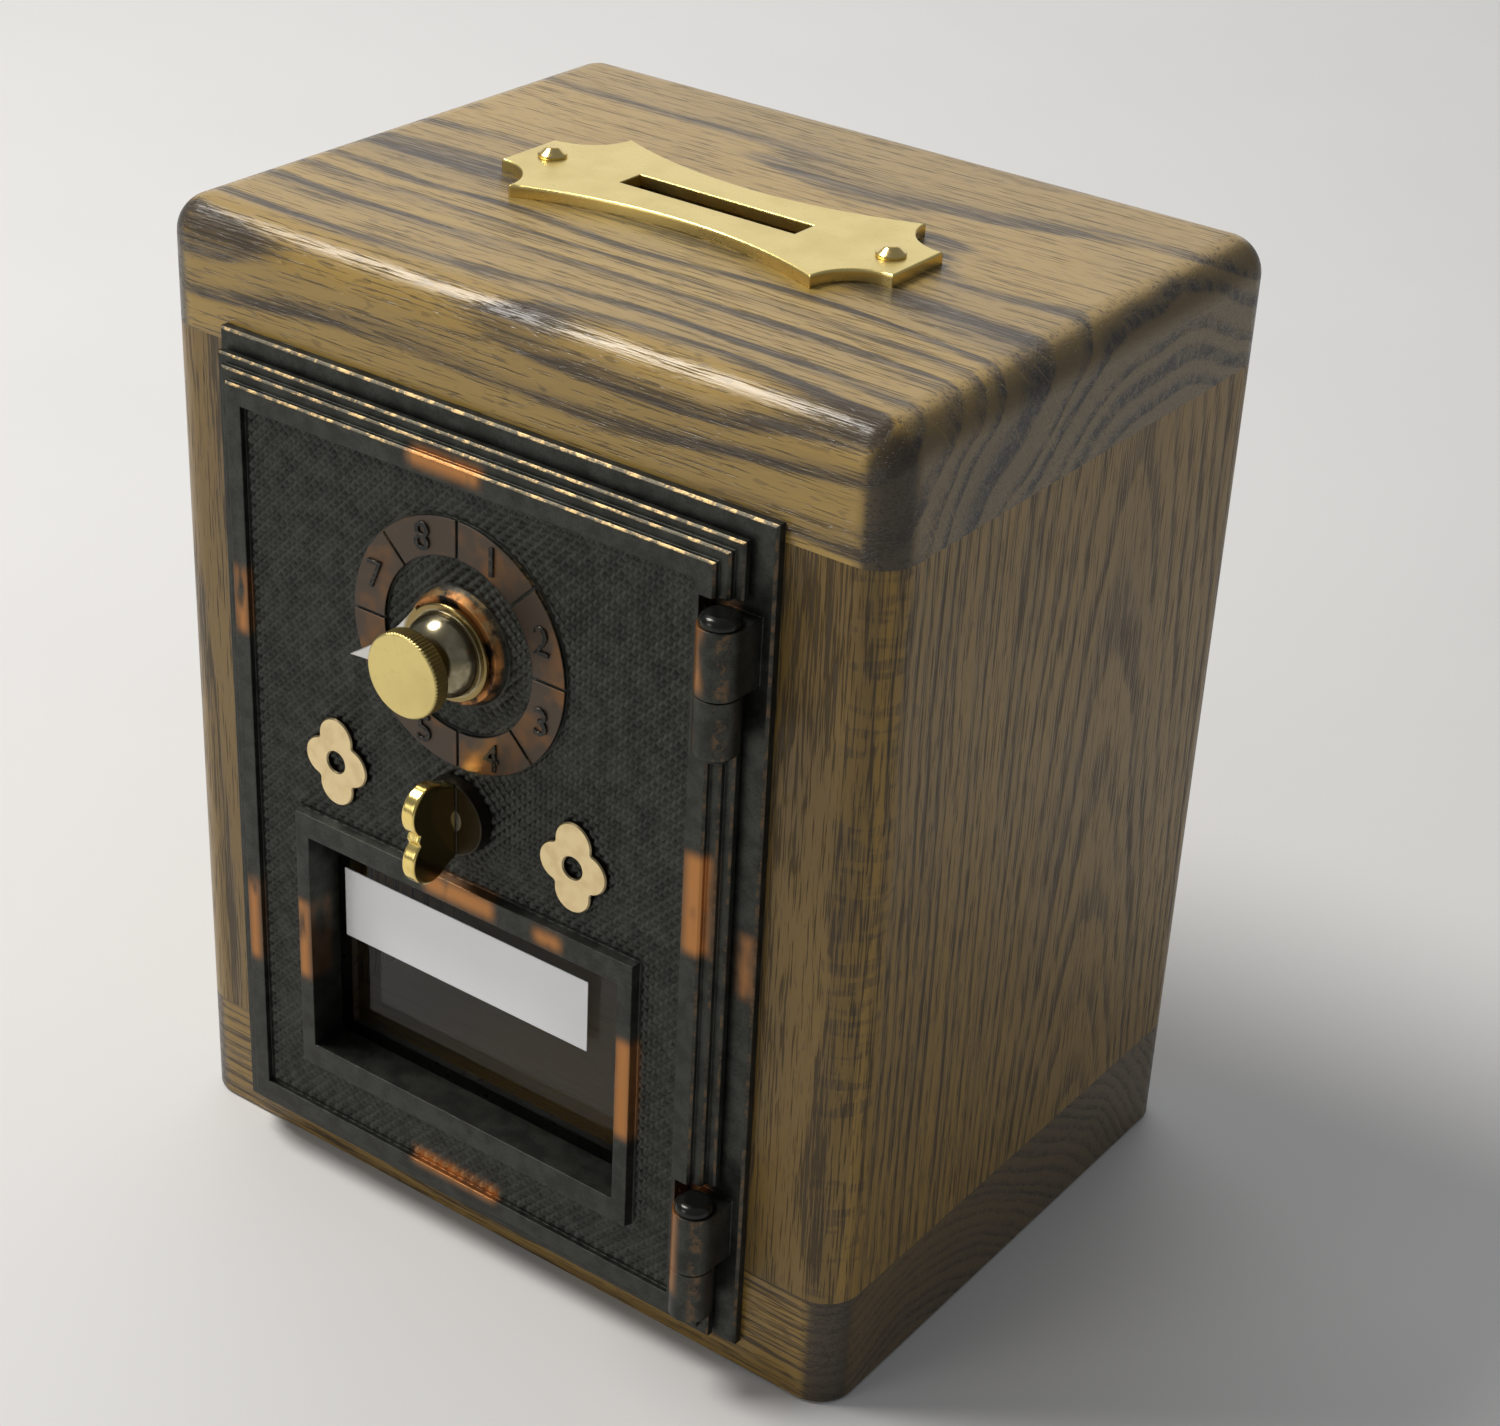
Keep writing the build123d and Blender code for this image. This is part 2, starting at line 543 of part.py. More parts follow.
with BuildPart() as door_casting:
    for back, step, inset in (
        (DOOR_BACK, BASE_STEP, 0.0),
        (DOOR_BACK - BASE_STEP, MIDDLE_STEP, MIDDLE_INSET),
        (FIELD, RIM_STEP, RIM_INSET),
    ):
        with BuildSketch(facing(back)):
            with Locations(DOOR_CENTRE):
                Rectangle(DOOR_W - 2 * inset, DOOR_H - 2 * inset)
        extrude(amount=step)
        chamfer(door_casting.faces().sort_by(Axis.Y)[0].edges(), STEP_CHAMFER)
    with BuildSketch(facing(FIELD)):
        with Locations(DOOR_CENTRE):
            Rectangle(DOOR_W - 2 * FIELD_INSET, DOOR_H - 2 * FIELD_INSET)
    extrude(amount=RIM_STEP, mode=Mode.SUBTRACT)
    with BuildSketch(facing(FIELD)):
        with Locations((DIAL_X, DIAL_Z)):
            Circle(RING_OUT_R)
            Circle(RING_IN_R, mode=Mode.SUBTRACT)
    extrude(amount=RING_RISE)
    with BuildSketch(facing(RING)):
        with Locations((DIAL_X, DIAL_Z)):
            with PolarLocations((RING_OUT_R + RING_IN_R) / 2, RING_SECTORS, start_angle=90):
                Rectangle(RING_OUT_R - RING_IN_R + 2 * RING_GROOVE_OVERRUN, RING_GROOVE_W)
    extrude(amount=-RING_GROOVE, mode=Mode.SUBTRACT)
    with BuildSketch(facing(FIELD)):
        with Locations((DIAL_X, DIAL_Z)):
            Circle(BOSS_R)
    extrude(amount=BOSS_RISE, taper=BOSS_TAPER)
    with BuildSketch(facing(FIELD)):
        with Locations((WINDOW_X, WINDOW_Z)):
            Rectangle(BEZEL_W, BEZEL_H)
    extrude(amount=BEZEL_RISE, taper=BEZEL_TAPER)
    with BuildSketch(facing(GLASS_FRONT)):
        with Locations((WINDOW_X, WINDOW_Z)):
            Rectangle(LIGHT_W + 2 * TUBE_T, LIGHT_H + 2 * TUBE_T)
    extrude(amount=GLASS_FRONT - DOOR_BACK)
    with BuildSketch(facing(GLASS_FRONT)):
        with Locations((WINDOW_X, WINDOW_Z)):
            Rectangle(LIGHT_W, LIGHT_H)
    extrude(amount=GLASS_FRONT - RIM + 2 * BEZEL_RISE, mode=Mode.SUBTRACT)
    with BuildSketch(facing(retainer_front)):
        with Locations(*retainer_screw_spots):
            Circle(RETAINER_BOSS_R)
    extrude(amount=retainer_front - DOOR_BACK)
    for split in HINGE_SPLITS:
        notch_h = FRAME_KNUCKLE_H + HINGE_HEAD_H + NOTCH_CLEARANCE
        with BuildSketch(Plane.XY.offset(split - 2 * KNUCKLE_GAP)):
            with Locations((NOTCH_X, DOOR_BACK)):
                Rectangle(DOOR_X1 - NOTCH_X, DOOR_BACK - RIM, align=(Align.MIN, Align.MAX))
        extrude(amount=notch_h, mode=Mode.SUBTRACT)
        with BuildSketch(Plane.XY.offset(split - DOOR_KNUCKLE_H - KNUCKLE_GAP)):
            with Locations((HINGE_X, HINGE_Y)):
                Circle(KNUCKLE_R)
            with Locations((HINGE_X - KNUCKLE_R, DOOR_BACK)):
                Rectangle(DOOR_X1 - HINGE_X + KNUCKLE_R, DOOR_BACK - HINGE_Y, align=(Align.MIN, Align.MAX))
        extrude(amount=DOOR_KNUCKLE_H)
        with Locations((HINGE_X, HINGE_Y, split - DOOR_KNUCKLE_H / 2)):
            Cylinder(HINGE_PIN_R + RUNNING_FIT, 2 * DOOR_KNUCKLE_H, mode=Mode.SUBTRACT)
    with BuildSketch(facing(DOOR_BACK)):
        with Locations((DIAL_X, DIAL_Z)):
            Circle(DIAL_SPINDLE_R + RUNNING_FIT)
        with Locations((THUMB_X, THUMB_Z)):
            Circle(THUMB_SPINDLE_R + RUNNING_FIT)
    extrude(amount=DOOR_BACK - BOSS, mode=Mode.SUBTRACT)
    with BuildSketch(facing(DOOR_BACK)):
        with Locations(*cover_screw_spots):
            Circle(COVER_SCREW_R)
    extrude(amount=COVER_SCREW_BITE, mode=Mode.SUBTRACT)
    with BuildSketch(facing(retainer_front)):
        with Locations(*retainer_screw_spots):
            Circle(RETAINER_SCREW_R)
    extrude(amount=RETAINER_SCREW_BITE, mode=Mode.SUBTRACT)
door_casting.part.label = "door_casting"
export_step(door_casting.part, "parts/door_casting.step")

# ---------------------------------------------------------------- window

with BuildPart() as window_glass:
    with BuildSketch(facing(retainer_front)):
        with Locations((WINDOW_X, WINDOW_Z)):
            Rectangle(GLASS_W, GLASS_H)
    extrude(amount=GLASS_T)
window_glass.part.label = "window_glass"
export_step(window_glass.part, "parts/window_glass.step")

with BuildPart() as window_label:
    with BuildSketch(facing(GLASS_FRONT)):
        with Locations((LABEL_X, LABEL_Z)):
            Rectangle(LABEL_W, LABEL_H)
    extrude(amount=LABEL_T)
window_label.part.label = "window_label"
export_step(window_label.part, "parts/window_label.step")

with BuildPart() as glass_retainer:
    with BuildSketch(facing(retainer_front + RETAINER_T)):
        with Locations((WINDOW_X, WINDOW_Z)):
            Rectangle(RETAINER_W, RETAINER_H)
            Rectangle(LIGHT_W - 2 * RETAINER_LAP, LIGHT_H - 2 * RETAINER_LAP, mode=Mode.SUBTRACT)
        with Locations(*retainer_screw_spots):
            Circle(RETAINER_SCREW_R, mode=Mode.SUBTRACT)
    extrude(amount=RETAINER_T)
glass_retainer.part.label = "glass_retainer"
export_step(glass_retainer.part, "parts/glass_retainer.step")

retainer_screw_planes = [
    towards(x, retainer_front + RETAINER_T, z, (0, 1, 0)) for x, z in retainer_screw_spots
]
with BuildPart() as retainer_screws:
    with Locations(*retainer_screw_planes):
        Cylinder(RETAINER_HEAD_R, RETAINER_HEAD_T, align=(Align.CENTER, Align.CENTER, Align.MIN))
        Cylinder(
            RETAINER_SCREW_R,
            RETAINER_T + RETAINER_SCREW_BITE,
            align=(Align.CENTER, Align.CENTER, Align.MAX),
        )
    with Locations(*[plane.offset(RETAINER_HEAD_T) for plane in retainer_screw_planes]):
        driver_slot(RETAINER_HEAD_R)
retainer_screws.part.label = "retainer_screws"
export_step(retainer_screws.part, "parts/retainer_screws.step")


# ---------------------------------------------------------------- raised ornaments


def ornament(centre):
    """A flat four-lobed rosette with an open eye, standing on the door's field."""
    lobe_r = 0.27 * ORNAMENT_W
    eye_r = 0.14 * ORNAMENT_W
    with BuildPart() as rosette:
        with BuildSketch(facing(FIELD)) as outline:
            with Locations(centre):
                with Locations((ORNAMENT_W / 2 - lobe_r, 0), (lobe_r - ORNAMENT_W / 2, 0)):
                    Circle(lobe_r)
                with Locations((0, ORNAMENT_H / 2 - lobe_r), (0, lobe_r - ORNAMENT_H / 2)):
                    Circle(lobe_r)
            fillet(outline.vertices(), ORNAMENT_CREASE_R)
            with Locations(centre):
                Circle(eye_r, mode=Mode.SUBTRACT)
        extrude(amount=ORNAMENT_RISE)
        chamfer(rosette.faces().sort_by(Axis.Y)[0].edges(), ORNAMENT_CHAMFER)
    return rosette


with BuildPart() as left_ornament:
    add(ornament(LEFT_ORNAMENT).part)
left_ornament.part.label = "left_ornament"
export_step(left_ornament.part, "parts/left_ornament.step")

with BuildPart() as right_ornament:
    add(ornament(RIGHT_ORNAMENT).part)
right_ornament.part.label = "right_ornament"
export_step(right_ornament.part, "parts/right_ornament.step")

# ---------------------------------------------------------------- dial knob

bell_back = BOSS - BELL_GAP
bell_front = bell_back - BELL_H
flange_front = bell_back - BELL_FLANGE_T
waist = (bell_back - BELL_WAIST[0], DIAL_Z + BELL_WAIST[1])
crown = (bell_back - BELL_CROWN[0], DIAL_Z + BELL_CROWN[1])
grip_front = bell_front - GRIP_T
dial_axis = Axis((DIAL_X, 0, DIAL_Z), (0, 1, 0))

with BuildPart() as dial_knob:
    with BuildSketch(Plane.YZ.offset(DIAL_X)):
        with BuildLine():
            Polyline(
                (bell_back, DIAL_Z + DIAL_SPINDLE_R),
                (bell_back, DIAL_Z + BELL_FLANGE_R),
                (flange_front, DIAL_Z + BELL_FLANGE_R),
                (flange_front, DIAL_Z + BELL_SHOULDER_R),
            )
            ThreePointArc((flange_front, DIAL_Z + BELL_SHOULDER_R), waist, crown)
            Polyline(
                crown,
                (bell_front, DIAL_Z + BELL_NECK_R),
                (bell_front, DIAL_Z + DIAL_SPINDLE_R),
                (bell_back, DIAL_Z + DIAL_SPINDLE_R),
            )
        make_face()
    revolve(axis=dial_axis)
    circles = dial_knob.edges().filter_by(GeomType.CIRCLE)
    fillet(circles.filter_by(lambda edge: edge.radius > BELL_SHOULDER_R + 0.1), BELL_FLANGE_FILLET)
    pointer_plane = Plane(
        origin=(DIAL_X, bell_back, DIAL_Z),
        x_dir=(cos(radians(POINTER_ANGLE)), 0, sin(radians(POINTER_ANGLE))),
        z_dir=(0, -1, 0),
    )
    with BuildSketch(pointer_plane):
        with BuildLine():
            upper = SagittaArc(
                (POINTER_ROOT_X, POINTER_ROOT_HALF_W),
                (POINTER_NECK_X, POINTER_NECK_HALF_W),
                -POINTER_SAG,
            )
            Line(upper @ 1, (POINTER_R, 0))
            lower = SagittaArc(
                (POINTER_ROOT_X, -POINTER_ROOT_HALF_W),
                (POINTER_NECK_X, -POINTER_NECK_HALF_W),
                POINTER_SAG,
            )
            Line(lower @ 1, (POINTER_R, 0))
            Line(upper @ 0, lower @ 0)
        make_face()
    extrude(amount=POINTER_T)
dial_knob.part.label = "dial_knob"
export_step(dial_knob.part, "parts/dial_knob.step")

with BuildPart() as dial_grip:
    with BuildSketch(facing(bell_front)):
        with Locations((DIAL_X, DIAL_Z)):
            Circle(GRIP_R)
    extrude(amount=GRIP_T)
    chamfer(dial_grip.edges(), GRIP_CHAMFER)
    with BuildSketch(facing(bell_front)):
        with Locations((DIAL_X, DIAL_Z)):
            with PolarLocations(GRIP_R, GRIP_FLUTES):
                Rectangle(GRIP_FLUTE_SIDE, GRIP_FLUTE_SIDE, rotation=45)
    extrude(amount=GRIP_T, mode=Mode.SUBTRACT)
    with BuildSketch(facing(bell_front)):
        with Locations((DIAL_X, DIAL_Z)):
            Circle(DIAL_SPINDLE_R)
    extrude(amount=GRIP_SOCKET, mode=Mode.SUBTRACT)
dial_grip.part.label = "dial_grip"
export_step(dial_grip.part, "parts/dial_grip.step")

with BuildPart() as dial_spindle:
    with BuildSketch(facing(LOCK_COVER_BACK - SPINDLE_SHORT)):
        with Locations((DIAL_X, DIAL_Z)):
            Circle(DIAL_SPINDLE_R)
    extrude(amount=LOCK_COVER_BACK - SPINDLE_SHORT - bell_front + GRIP_SOCKET)
dial_spindle.part.label = "dial_spindle"
export_step(dial_spindle.part, "parts/dial_spindle.step")


# ---------------------------------------------------------------- lock wheels


def lock_wheel(back, bore_r, lug_back, lug_front):
    """A tumbler: a disc whose gate is the scallop that the cam's nose sweeps through, with its lugs."""
    with BuildPart() as wheel:
        with BuildSketch(facing(back)):
            with Locations((DIAL_X, DIAL_Z)):
                Circle(WHEEL_R)
                Circle(bore_r, mode=Mode.SUBTRACT)
            with Locations((THUMB_X, THUMB_Z)):
                Circle(NOSE_R + NOSE_CLEARANCE, mode=Mode.SUBTRACT)
        extrude(amount=WHEEL_T)
        if lug_back:
            with BuildSketch(facing(back)):
                with Locations((DIAL_X, DIAL_Z + LUG_RADIUS)):
                    Circle(LUG_R)
            extrude(amount=-LUG_L)
        if lug_front:
            turn = radians(90 - LUG_TURN)
            with BuildSketch(facing(back - WHEEL_T)):
                with Locations((DIAL_X + LUG_RADIUS * cos(turn), DIAL_Z + LUG_RADIUS * sin(turn))):
                    Circle(LUG_R)
            extrude(amount=LUG_L)
    return wheel


with BuildPart() as drive_wheel:
    add(lock_wheel(DRIVE_WHEEL_BACK, DIAL_SPINDLE_R, True, False).part)
drive_wheel.part.label = "drive_wheel"
export_step(drive_wheel.part, "parts/drive_wheel.step")

for number in range(1, WHEEL_COUNT + 1):
    wheel_back = FIRST_WHEEL_BACK + (number - 1) * WHEEL_PITCH
    tumbler = lock_wheel(wheel_back, POST_R + RUNNING_FIT / 2, number < WHEEL_COUNT, True)
    tumbler.part.label = f"tumbler_wheel_{number}"
    export_step(tumbler.part, f"parts/tumbler_wheel_{number}.step")

with BuildPart() as wheel_post:
    with BuildSketch(facing(LOCK_COVER_BACK)):
        with Locations((DIAL_X, DIAL_Z)):
            Circle(POST_R)
    extrude(amount=LOCK_COVER_BACK - POST_FRONT)
    with BuildSketch(facing(LOCK_CASE_BACK)):
        with Locations((DIAL_X, DIAL_Z)):
            Circle(POST_FLANGE_R)
    extrude(amount=LOCK_CASE_BACK - LAST_WHEEL_BACK - POST_SHOULDER_GAP)
    with BuildSketch(facing(LOCK_COVER_BACK)):
        with Locations((DIAL_X, DIAL_Z)):
            Circle(DIAL_SPINDLE_R + RUNNING_FIT)
    extrude(amount=LOCK_COVER_BACK - POST_FRONT, mode=Mode.SUBTRACT)
wheel_post.part.label = "wheel_post"
export_step(wheel_post.part, "parts/wheel_post.step")

with BuildPart() as wheel_spacers:
    for number in range(1, WHEEL_COUNT):
        gap_front = FIRST_WHEEL_BACK + (number - 1) * WHEEL_PITCH
        gap = WHEEL_PITCH - WHEEL_T
        with BuildSketch(facing(gap_front + (gap + SPACER_T) / 2)):
            with Locations((DIAL_X, DIAL_Z)):
                Circle(SPACER_R)
                Circle(POST_R, mode=Mode.SUBTRACT)
        extrude(amount=SPACER_T)
wheel_spacers.part.label = "wheel_spacers"
export_step(wheel_spacers.part, "parts/wheel_spacers.step")

# ---------------------------------------------------------------- thumb turn and cam

base_back = FIELD - THUMB_GAP
base_front = base_back - THUMB_BASE_T
lobe_y = WING_FRONT + WING_LOBE_R
shoulder_y = lobe_y + WING_SHOULDER_STEP
shoulder_z = WING_LOBE_Z + WING_LOBE_R - WING_SHOULDER_DROP

with BuildPart() as thumb_knob:
    with BuildSketch(Plane.YZ.offset(THUMB_X)):
        with Locations((lobe_y, THUMB_Z + WING_LOBE_Z), (lobe_y, THUMB_Z - WING_LOBE_Z)):
            Circle(WING_LOBE_R)
        with BuildLine():
            Polyline(
                (base_front + WING_ROOT_BITE, THUMB_Z + WING_ROOT_HALF_W),
                (base_front + WING_ROOT_BITE, THUMB_Z - WING_ROOT_HALF_W),
                (shoulder_y, THUMB_Z - shoulder_z),
                (WING_FRONT + WING_WAIST, THUMB_Z),
                (shoulder_y, THUMB_Z + shoulder_z),
                close=True,
            )
        make_face()
    extrude(amount=WING_T / 2, both=True)
    fillet(thumb_knob.faces().filter_by(Axis.X).edges(), WING_FILLET)
    with BuildSketch(facing(base_back)):
        with Locations((THUMB_X, THUMB_Z)):
            Circle(THUMB_BASE_R)
    extrude(amount=base_back - base_front, taper=THUMB_BASE_TAPER)
    with BuildSketch(facing(base_back)):
        with Locations((THUMB_X, THUMB_Z)):
            Circle(THUMB_SPINDLE_R)
    extrude(amount=base_back - base_front, mode=Mode.SUBTRACT)
thumb_knob.part.label = "thumb_knob"
export_step(thumb_knob.part, "parts/thumb_knob.step")

with BuildPart() as thumb_spindle:
    with BuildSketch(facing(CAM_BACK)):
        with Locations((THUMB_X, THUMB_Z)):
            Circle(THUMB_SPINDLE_R)
    extrude(amount=CAM_BACK - base_front)
thumb_spindle.part.label = "thumb_spindle"
export_step(thumb_spindle.part, "parts/thumb_spindle.step")

# At rest the nose stands up to the left of the spindle and the crank pin hangs down to the right of it.
nose_angle = 90 + SWING
crank_angle = radians(SWING - 90)
crank_x = THUMB_X + CRANK_R * cos(crank_angle)
crank_z = THUMB_Z + CRANK_R * sin(crank_angle)

with BuildPart() as lock_cam:
    with BuildSketch(facing(CAM_BACK)):
        with Locations((THUMB_X, THUMB_Z)):
            with Locations(Rotation(0, 0, nose_angle)):
                Rectangle(NOSE_R + 2, NOSE_W, align=(Align.MIN, Align.CENTER))
            Circle(NOSE_R, mode=Mode.INTERSECT)
            Circle(CAM_HUB_R)
    extrude(amount=CAM_BACK - CAM_FRONT)
    with BuildSketch(facing(CAM_BACK)):
        with Locations((crank_x, crank_z)):
            Circle(2 * CRANK_PIN_R)
    extrude(amount=CRANK_BOSS_T)
    with BuildSketch(facing(CAM_BACK)):
        with Locations((crank_x, crank_z)):
            Circle(CRANK_PIN_R)
    extrude(amount=CAM_BACK - BOLT_BACK + CRANK_PIN_OVERRUN)
    with BuildSketch(facing(CAM_BACK)):
        with Locations((THUMB_X, THUMB_Z)):
            Circle(THUMB_SPINDLE_R)
    extrude(amount=CAM_BACK - CAM_FRONT, mode=Mode.SUBTRACT)
lock_cam.part.label = "lock_cam"
export_step(lock_cam.part, "parts/lock_cam.step")

with BuildPart() as lock_bolt:
    with BuildSketch(facing(BOLT_BACK)):
        with Locations((BOLT_TIP_X, BOLT_Z0)):
            Rectangle(BOLT_TAIL_X1 - BOLT_TIP_X, BOLT_H, align=(Align.MIN, Align.MIN))
        with Locations((BOLT_TAIL_X0, BOLT_Z0)):
            Rectangle(BOLT_TAIL_X1 - BOLT_TAIL_X0, BOLT_TAIL_H, align=(Align.MIN, Align.MIN))
        slot_z0 = THUMB_Z - CRANK_R - CRANK_PIN_R - CRANK_SLOT_END_GAP
        slot_z1 = crank_z + CRANK_PIN_R + CRANK_SLOT_END_GAP
        with Locations((crank_x, (slot_z0 + slot_z1) / 2)):
            Rectangle(2 * (CRANK_PIN_R + CRANK_SLOT_SIDE_GAP), slot_z1 - slot_z0, mode=Mode.SUBTRACT)
    extrude(amount=BOLT_T)
lock_bolt.part.label = "lock_bolt"
export_step(lock_bolt.part, "parts/lock_bolt.step")

# ---------------------------------------------------------------- lock case, cover and guide

guide_top = BOLT_Z0 + BOLT_H + GUIDE_GAP
guide_front = BOLT_FRONT - GUIDE_FRONT_GAP
rivet_spots = [(GUIDE_X + step, guide_top + GUIDE_H / 2) for step in (-RIVET_STEP, RIVET_STEP)]
rivet_planes = [towards(x, LOCK_COVER_BACK, z, (0, 1, 0)) for x, z in rivet_spots]

with BuildPart() as lock_case:
    with BuildSketch(facing(LOCK_CASE_BACK)):
        with Locations((DIAL_X, LOCK_CASE_Z)):
            Rectangle(LOCK_CASE_W, LOCK_CASE_H)
            Rectangle(LOCK_CASE_W - 2 * LOCK_CASE_T, LOCK_CASE_H - 2 * LOCK_CASE_T, mode=Mode.SUBTRACT)
        with Locations(*cover_screw_spots):
            Circle(COVER_SCREW_POST_R)
        with Locations((DIAL_X, LOCK_CASE_Z)):
            Rectangle(LOCK_CASE_W, LOCK_CASE_H, mode=Mode.INTERSECT)
        with Locations(*cover_screw_spots):
            Circle(COVER_SCREW_R, mode=Mode.SUBTRACT)
    extrude(amount=LOCK_CASE_BACK - DOOR_BACK)
    with Locations((LOCK_INNER_X0 + LOCK_CASE_T, LOCK_CASE_BACK, BOLT_Z0 - BOLT_SLOT_GAP)):
        Box(
            3 * LOCK_CASE_T,
            LOCK_CASE_BACK - BOLT_FRONT + BOLT_SLOT_GAP,
            BOLT_H + 2 * BOLT_SLOT_GAP,
            align=(Align.MAX, Align.MAX, Align.MIN),
            mode=Mode.SUBTRACT,
        )
lock_case.part.label = "lock_case"
export_step(lock_case.part, "parts/lock_case.step")

with BuildPart() as lock_cover:
    with BuildSketch(facing(LOCK_COVER_BACK)):
        with Locations((DIAL_X, LOCK_CASE_Z)):
            Rectangle(LOCK_CASE_W, LOCK_CASE_H)
        with Locations((DIAL_X, DIAL_Z)):
            Circle(POST_R, mode=Mode.SUBTRACT)
        with Locations(*cover_screw_spots):
            Circle(COVER_SCREW_R, mode=Mode.SUBTRACT)
        with Locations(*rivet_spots):
            Circle(RIVET_R, mode=Mode.SUBTRACT)
    extrude(amount=LOCK_COVER_T)
lock_cover.part.label = "lock_cover"
export_step(lock_cover.part, "parts/lock_cover.step")

cover_screw_planes = [towards(x, LOCK_COVER_BACK, z, (0, 1, 0)) for x, z in cover_screw_spots]
with BuildPart() as cover_screws:
    with Locations(*cover_screw_planes):
        Cylinder(COVER_HEAD_R, COVER_HEAD_T, align=(Align.CENTER, Align.CENTER, Align.MIN))
        Cylinder(
            COVER_SCREW_R,
            LOCK_COVER_BACK - DOOR_BACK + COVER_SCREW_BITE,
            align=(Align.CENTER, Align.CENTER, Align.MAX),
        )
    with Locations(*[plane.offset(COVER_HEAD_T) for plane in cover_screw_planes]):
        driver_slot(COVER_HEAD_R)
cover_screws.part.label = "cover_screws"
export_step(cover_screws.part, "parts/cover_screws.step")

with BuildPart() as bolt_guide:
    with Locations((GUIDE_X, LOCK_CASE_BACK, guide_top)):
        Box(
            GUIDE_W,
            LOCK_CASE_BACK - guide_front,
            GUIDE_H,
            align=(Align.CENTER, Align.MAX, Align.MIN),
        )
    with Locations((GUIDE_X, BOLT_FRONT - GUIDE_GAP, LOCK_FLOOR)):
        Box(
            GUIDE_W,
            GUIDE_STRAP_T,
            guide_top - LOCK_FLOOR + GUIDE_H,
            align=(Align.CENTER, Align.MAX, Align.MIN),
        )
    with Locations(*rivet_planes):
        Cylinder(RIVET_R, LOCK_CASE_H, mode=Mode.SUBTRACT)
bolt_guide.part.label = "bolt_guide"
export_step(bolt_guide.part, "parts/bolt_guide.step")

with BuildPart() as guide_rivets:
    with Locations(*rivet_planes):
        Cylinder(RIVET_HEAD_R, RIVET_HEAD_T, align=(Align.CENTER, Align.CENTER, Align.MIN))
        Cylinder(RIVET_R, LOCK_COVER_BACK - guide_front, align=(Align.CENTER, Align.CENTER, Align.MAX))
guide_rivets.part.label = "guide_rivets"
export_step(guide_rivets.part, "parts/guide_rivets.step")
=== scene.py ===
import json
import math
import random

import bmesh
import bpy
from mathutils import Matrix, Vector


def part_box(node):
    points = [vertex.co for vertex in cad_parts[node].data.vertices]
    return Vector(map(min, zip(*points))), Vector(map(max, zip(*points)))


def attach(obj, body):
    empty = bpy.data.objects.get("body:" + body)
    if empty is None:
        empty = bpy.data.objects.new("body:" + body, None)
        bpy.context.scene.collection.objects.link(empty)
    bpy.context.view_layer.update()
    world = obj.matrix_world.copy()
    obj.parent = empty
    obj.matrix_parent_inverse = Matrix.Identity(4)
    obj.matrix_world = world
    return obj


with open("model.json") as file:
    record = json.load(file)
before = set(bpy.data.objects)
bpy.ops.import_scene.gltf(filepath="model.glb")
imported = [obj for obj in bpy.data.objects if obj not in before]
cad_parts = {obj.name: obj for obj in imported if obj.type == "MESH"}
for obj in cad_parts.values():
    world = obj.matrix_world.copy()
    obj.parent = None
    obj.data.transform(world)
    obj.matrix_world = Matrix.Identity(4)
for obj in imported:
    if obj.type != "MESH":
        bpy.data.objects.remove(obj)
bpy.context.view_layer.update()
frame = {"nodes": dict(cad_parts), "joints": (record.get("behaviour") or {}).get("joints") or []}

MM = 0.001
joints = {joint["name"]: joint for joint in frame["joints"]}


def span(node):
    """The lowest and highest corner of a CAD node, in millimetres."""
    low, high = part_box(node)
    return low / MM, high / MM


def joint_axis(name):
    """A point on a joint's axis, in millimetres."""
    return Vector(joints[name]["pos_m"]) / MM


# ---------------------------------------------------------------- places on the object, in millimetres

DIAL = joint_axis("dial_spin")
HINGE = joint_axis("door_hinge")
DOOR_LOW, DOOR_HIGH = span("door_casting")
DOOR_RIGHT = HINGE.x + 1.0
FIELD_Y = span("left_ornament")[1].y
FIELD_INSET = 5.9
FIELD = (
    DOOR_LOW.x + FIELD_INSET,
    DOOR_RIGHT - FIELD_INSET,
    DOOR_LOW.z + FIELD_INSET,
    DOOR_HIGH.z - FIELD_INSET,
)
GLASS_LOW, GLASS_HIGH = span("window_glass")
WINDOW = (GLASS_LOW + GLASS_HIGH) / 2
BEZEL_HALF = (31.0, 22.0)
RING_OUT_R = 18.3
RING_IN_R = 12.9
RING_Y = FIELD_Y - 0.6
THUMB_BASE_Y = FIELD_Y - 2.55
BOSS_R = 8.5
SIDE_MIDDLE_Z = 74.0
HEART_NEAR = 14.0
HEART_FAR = 34.0


# ---------------------------------------------------------------- building materials


EDGE_SAMPLES = 6


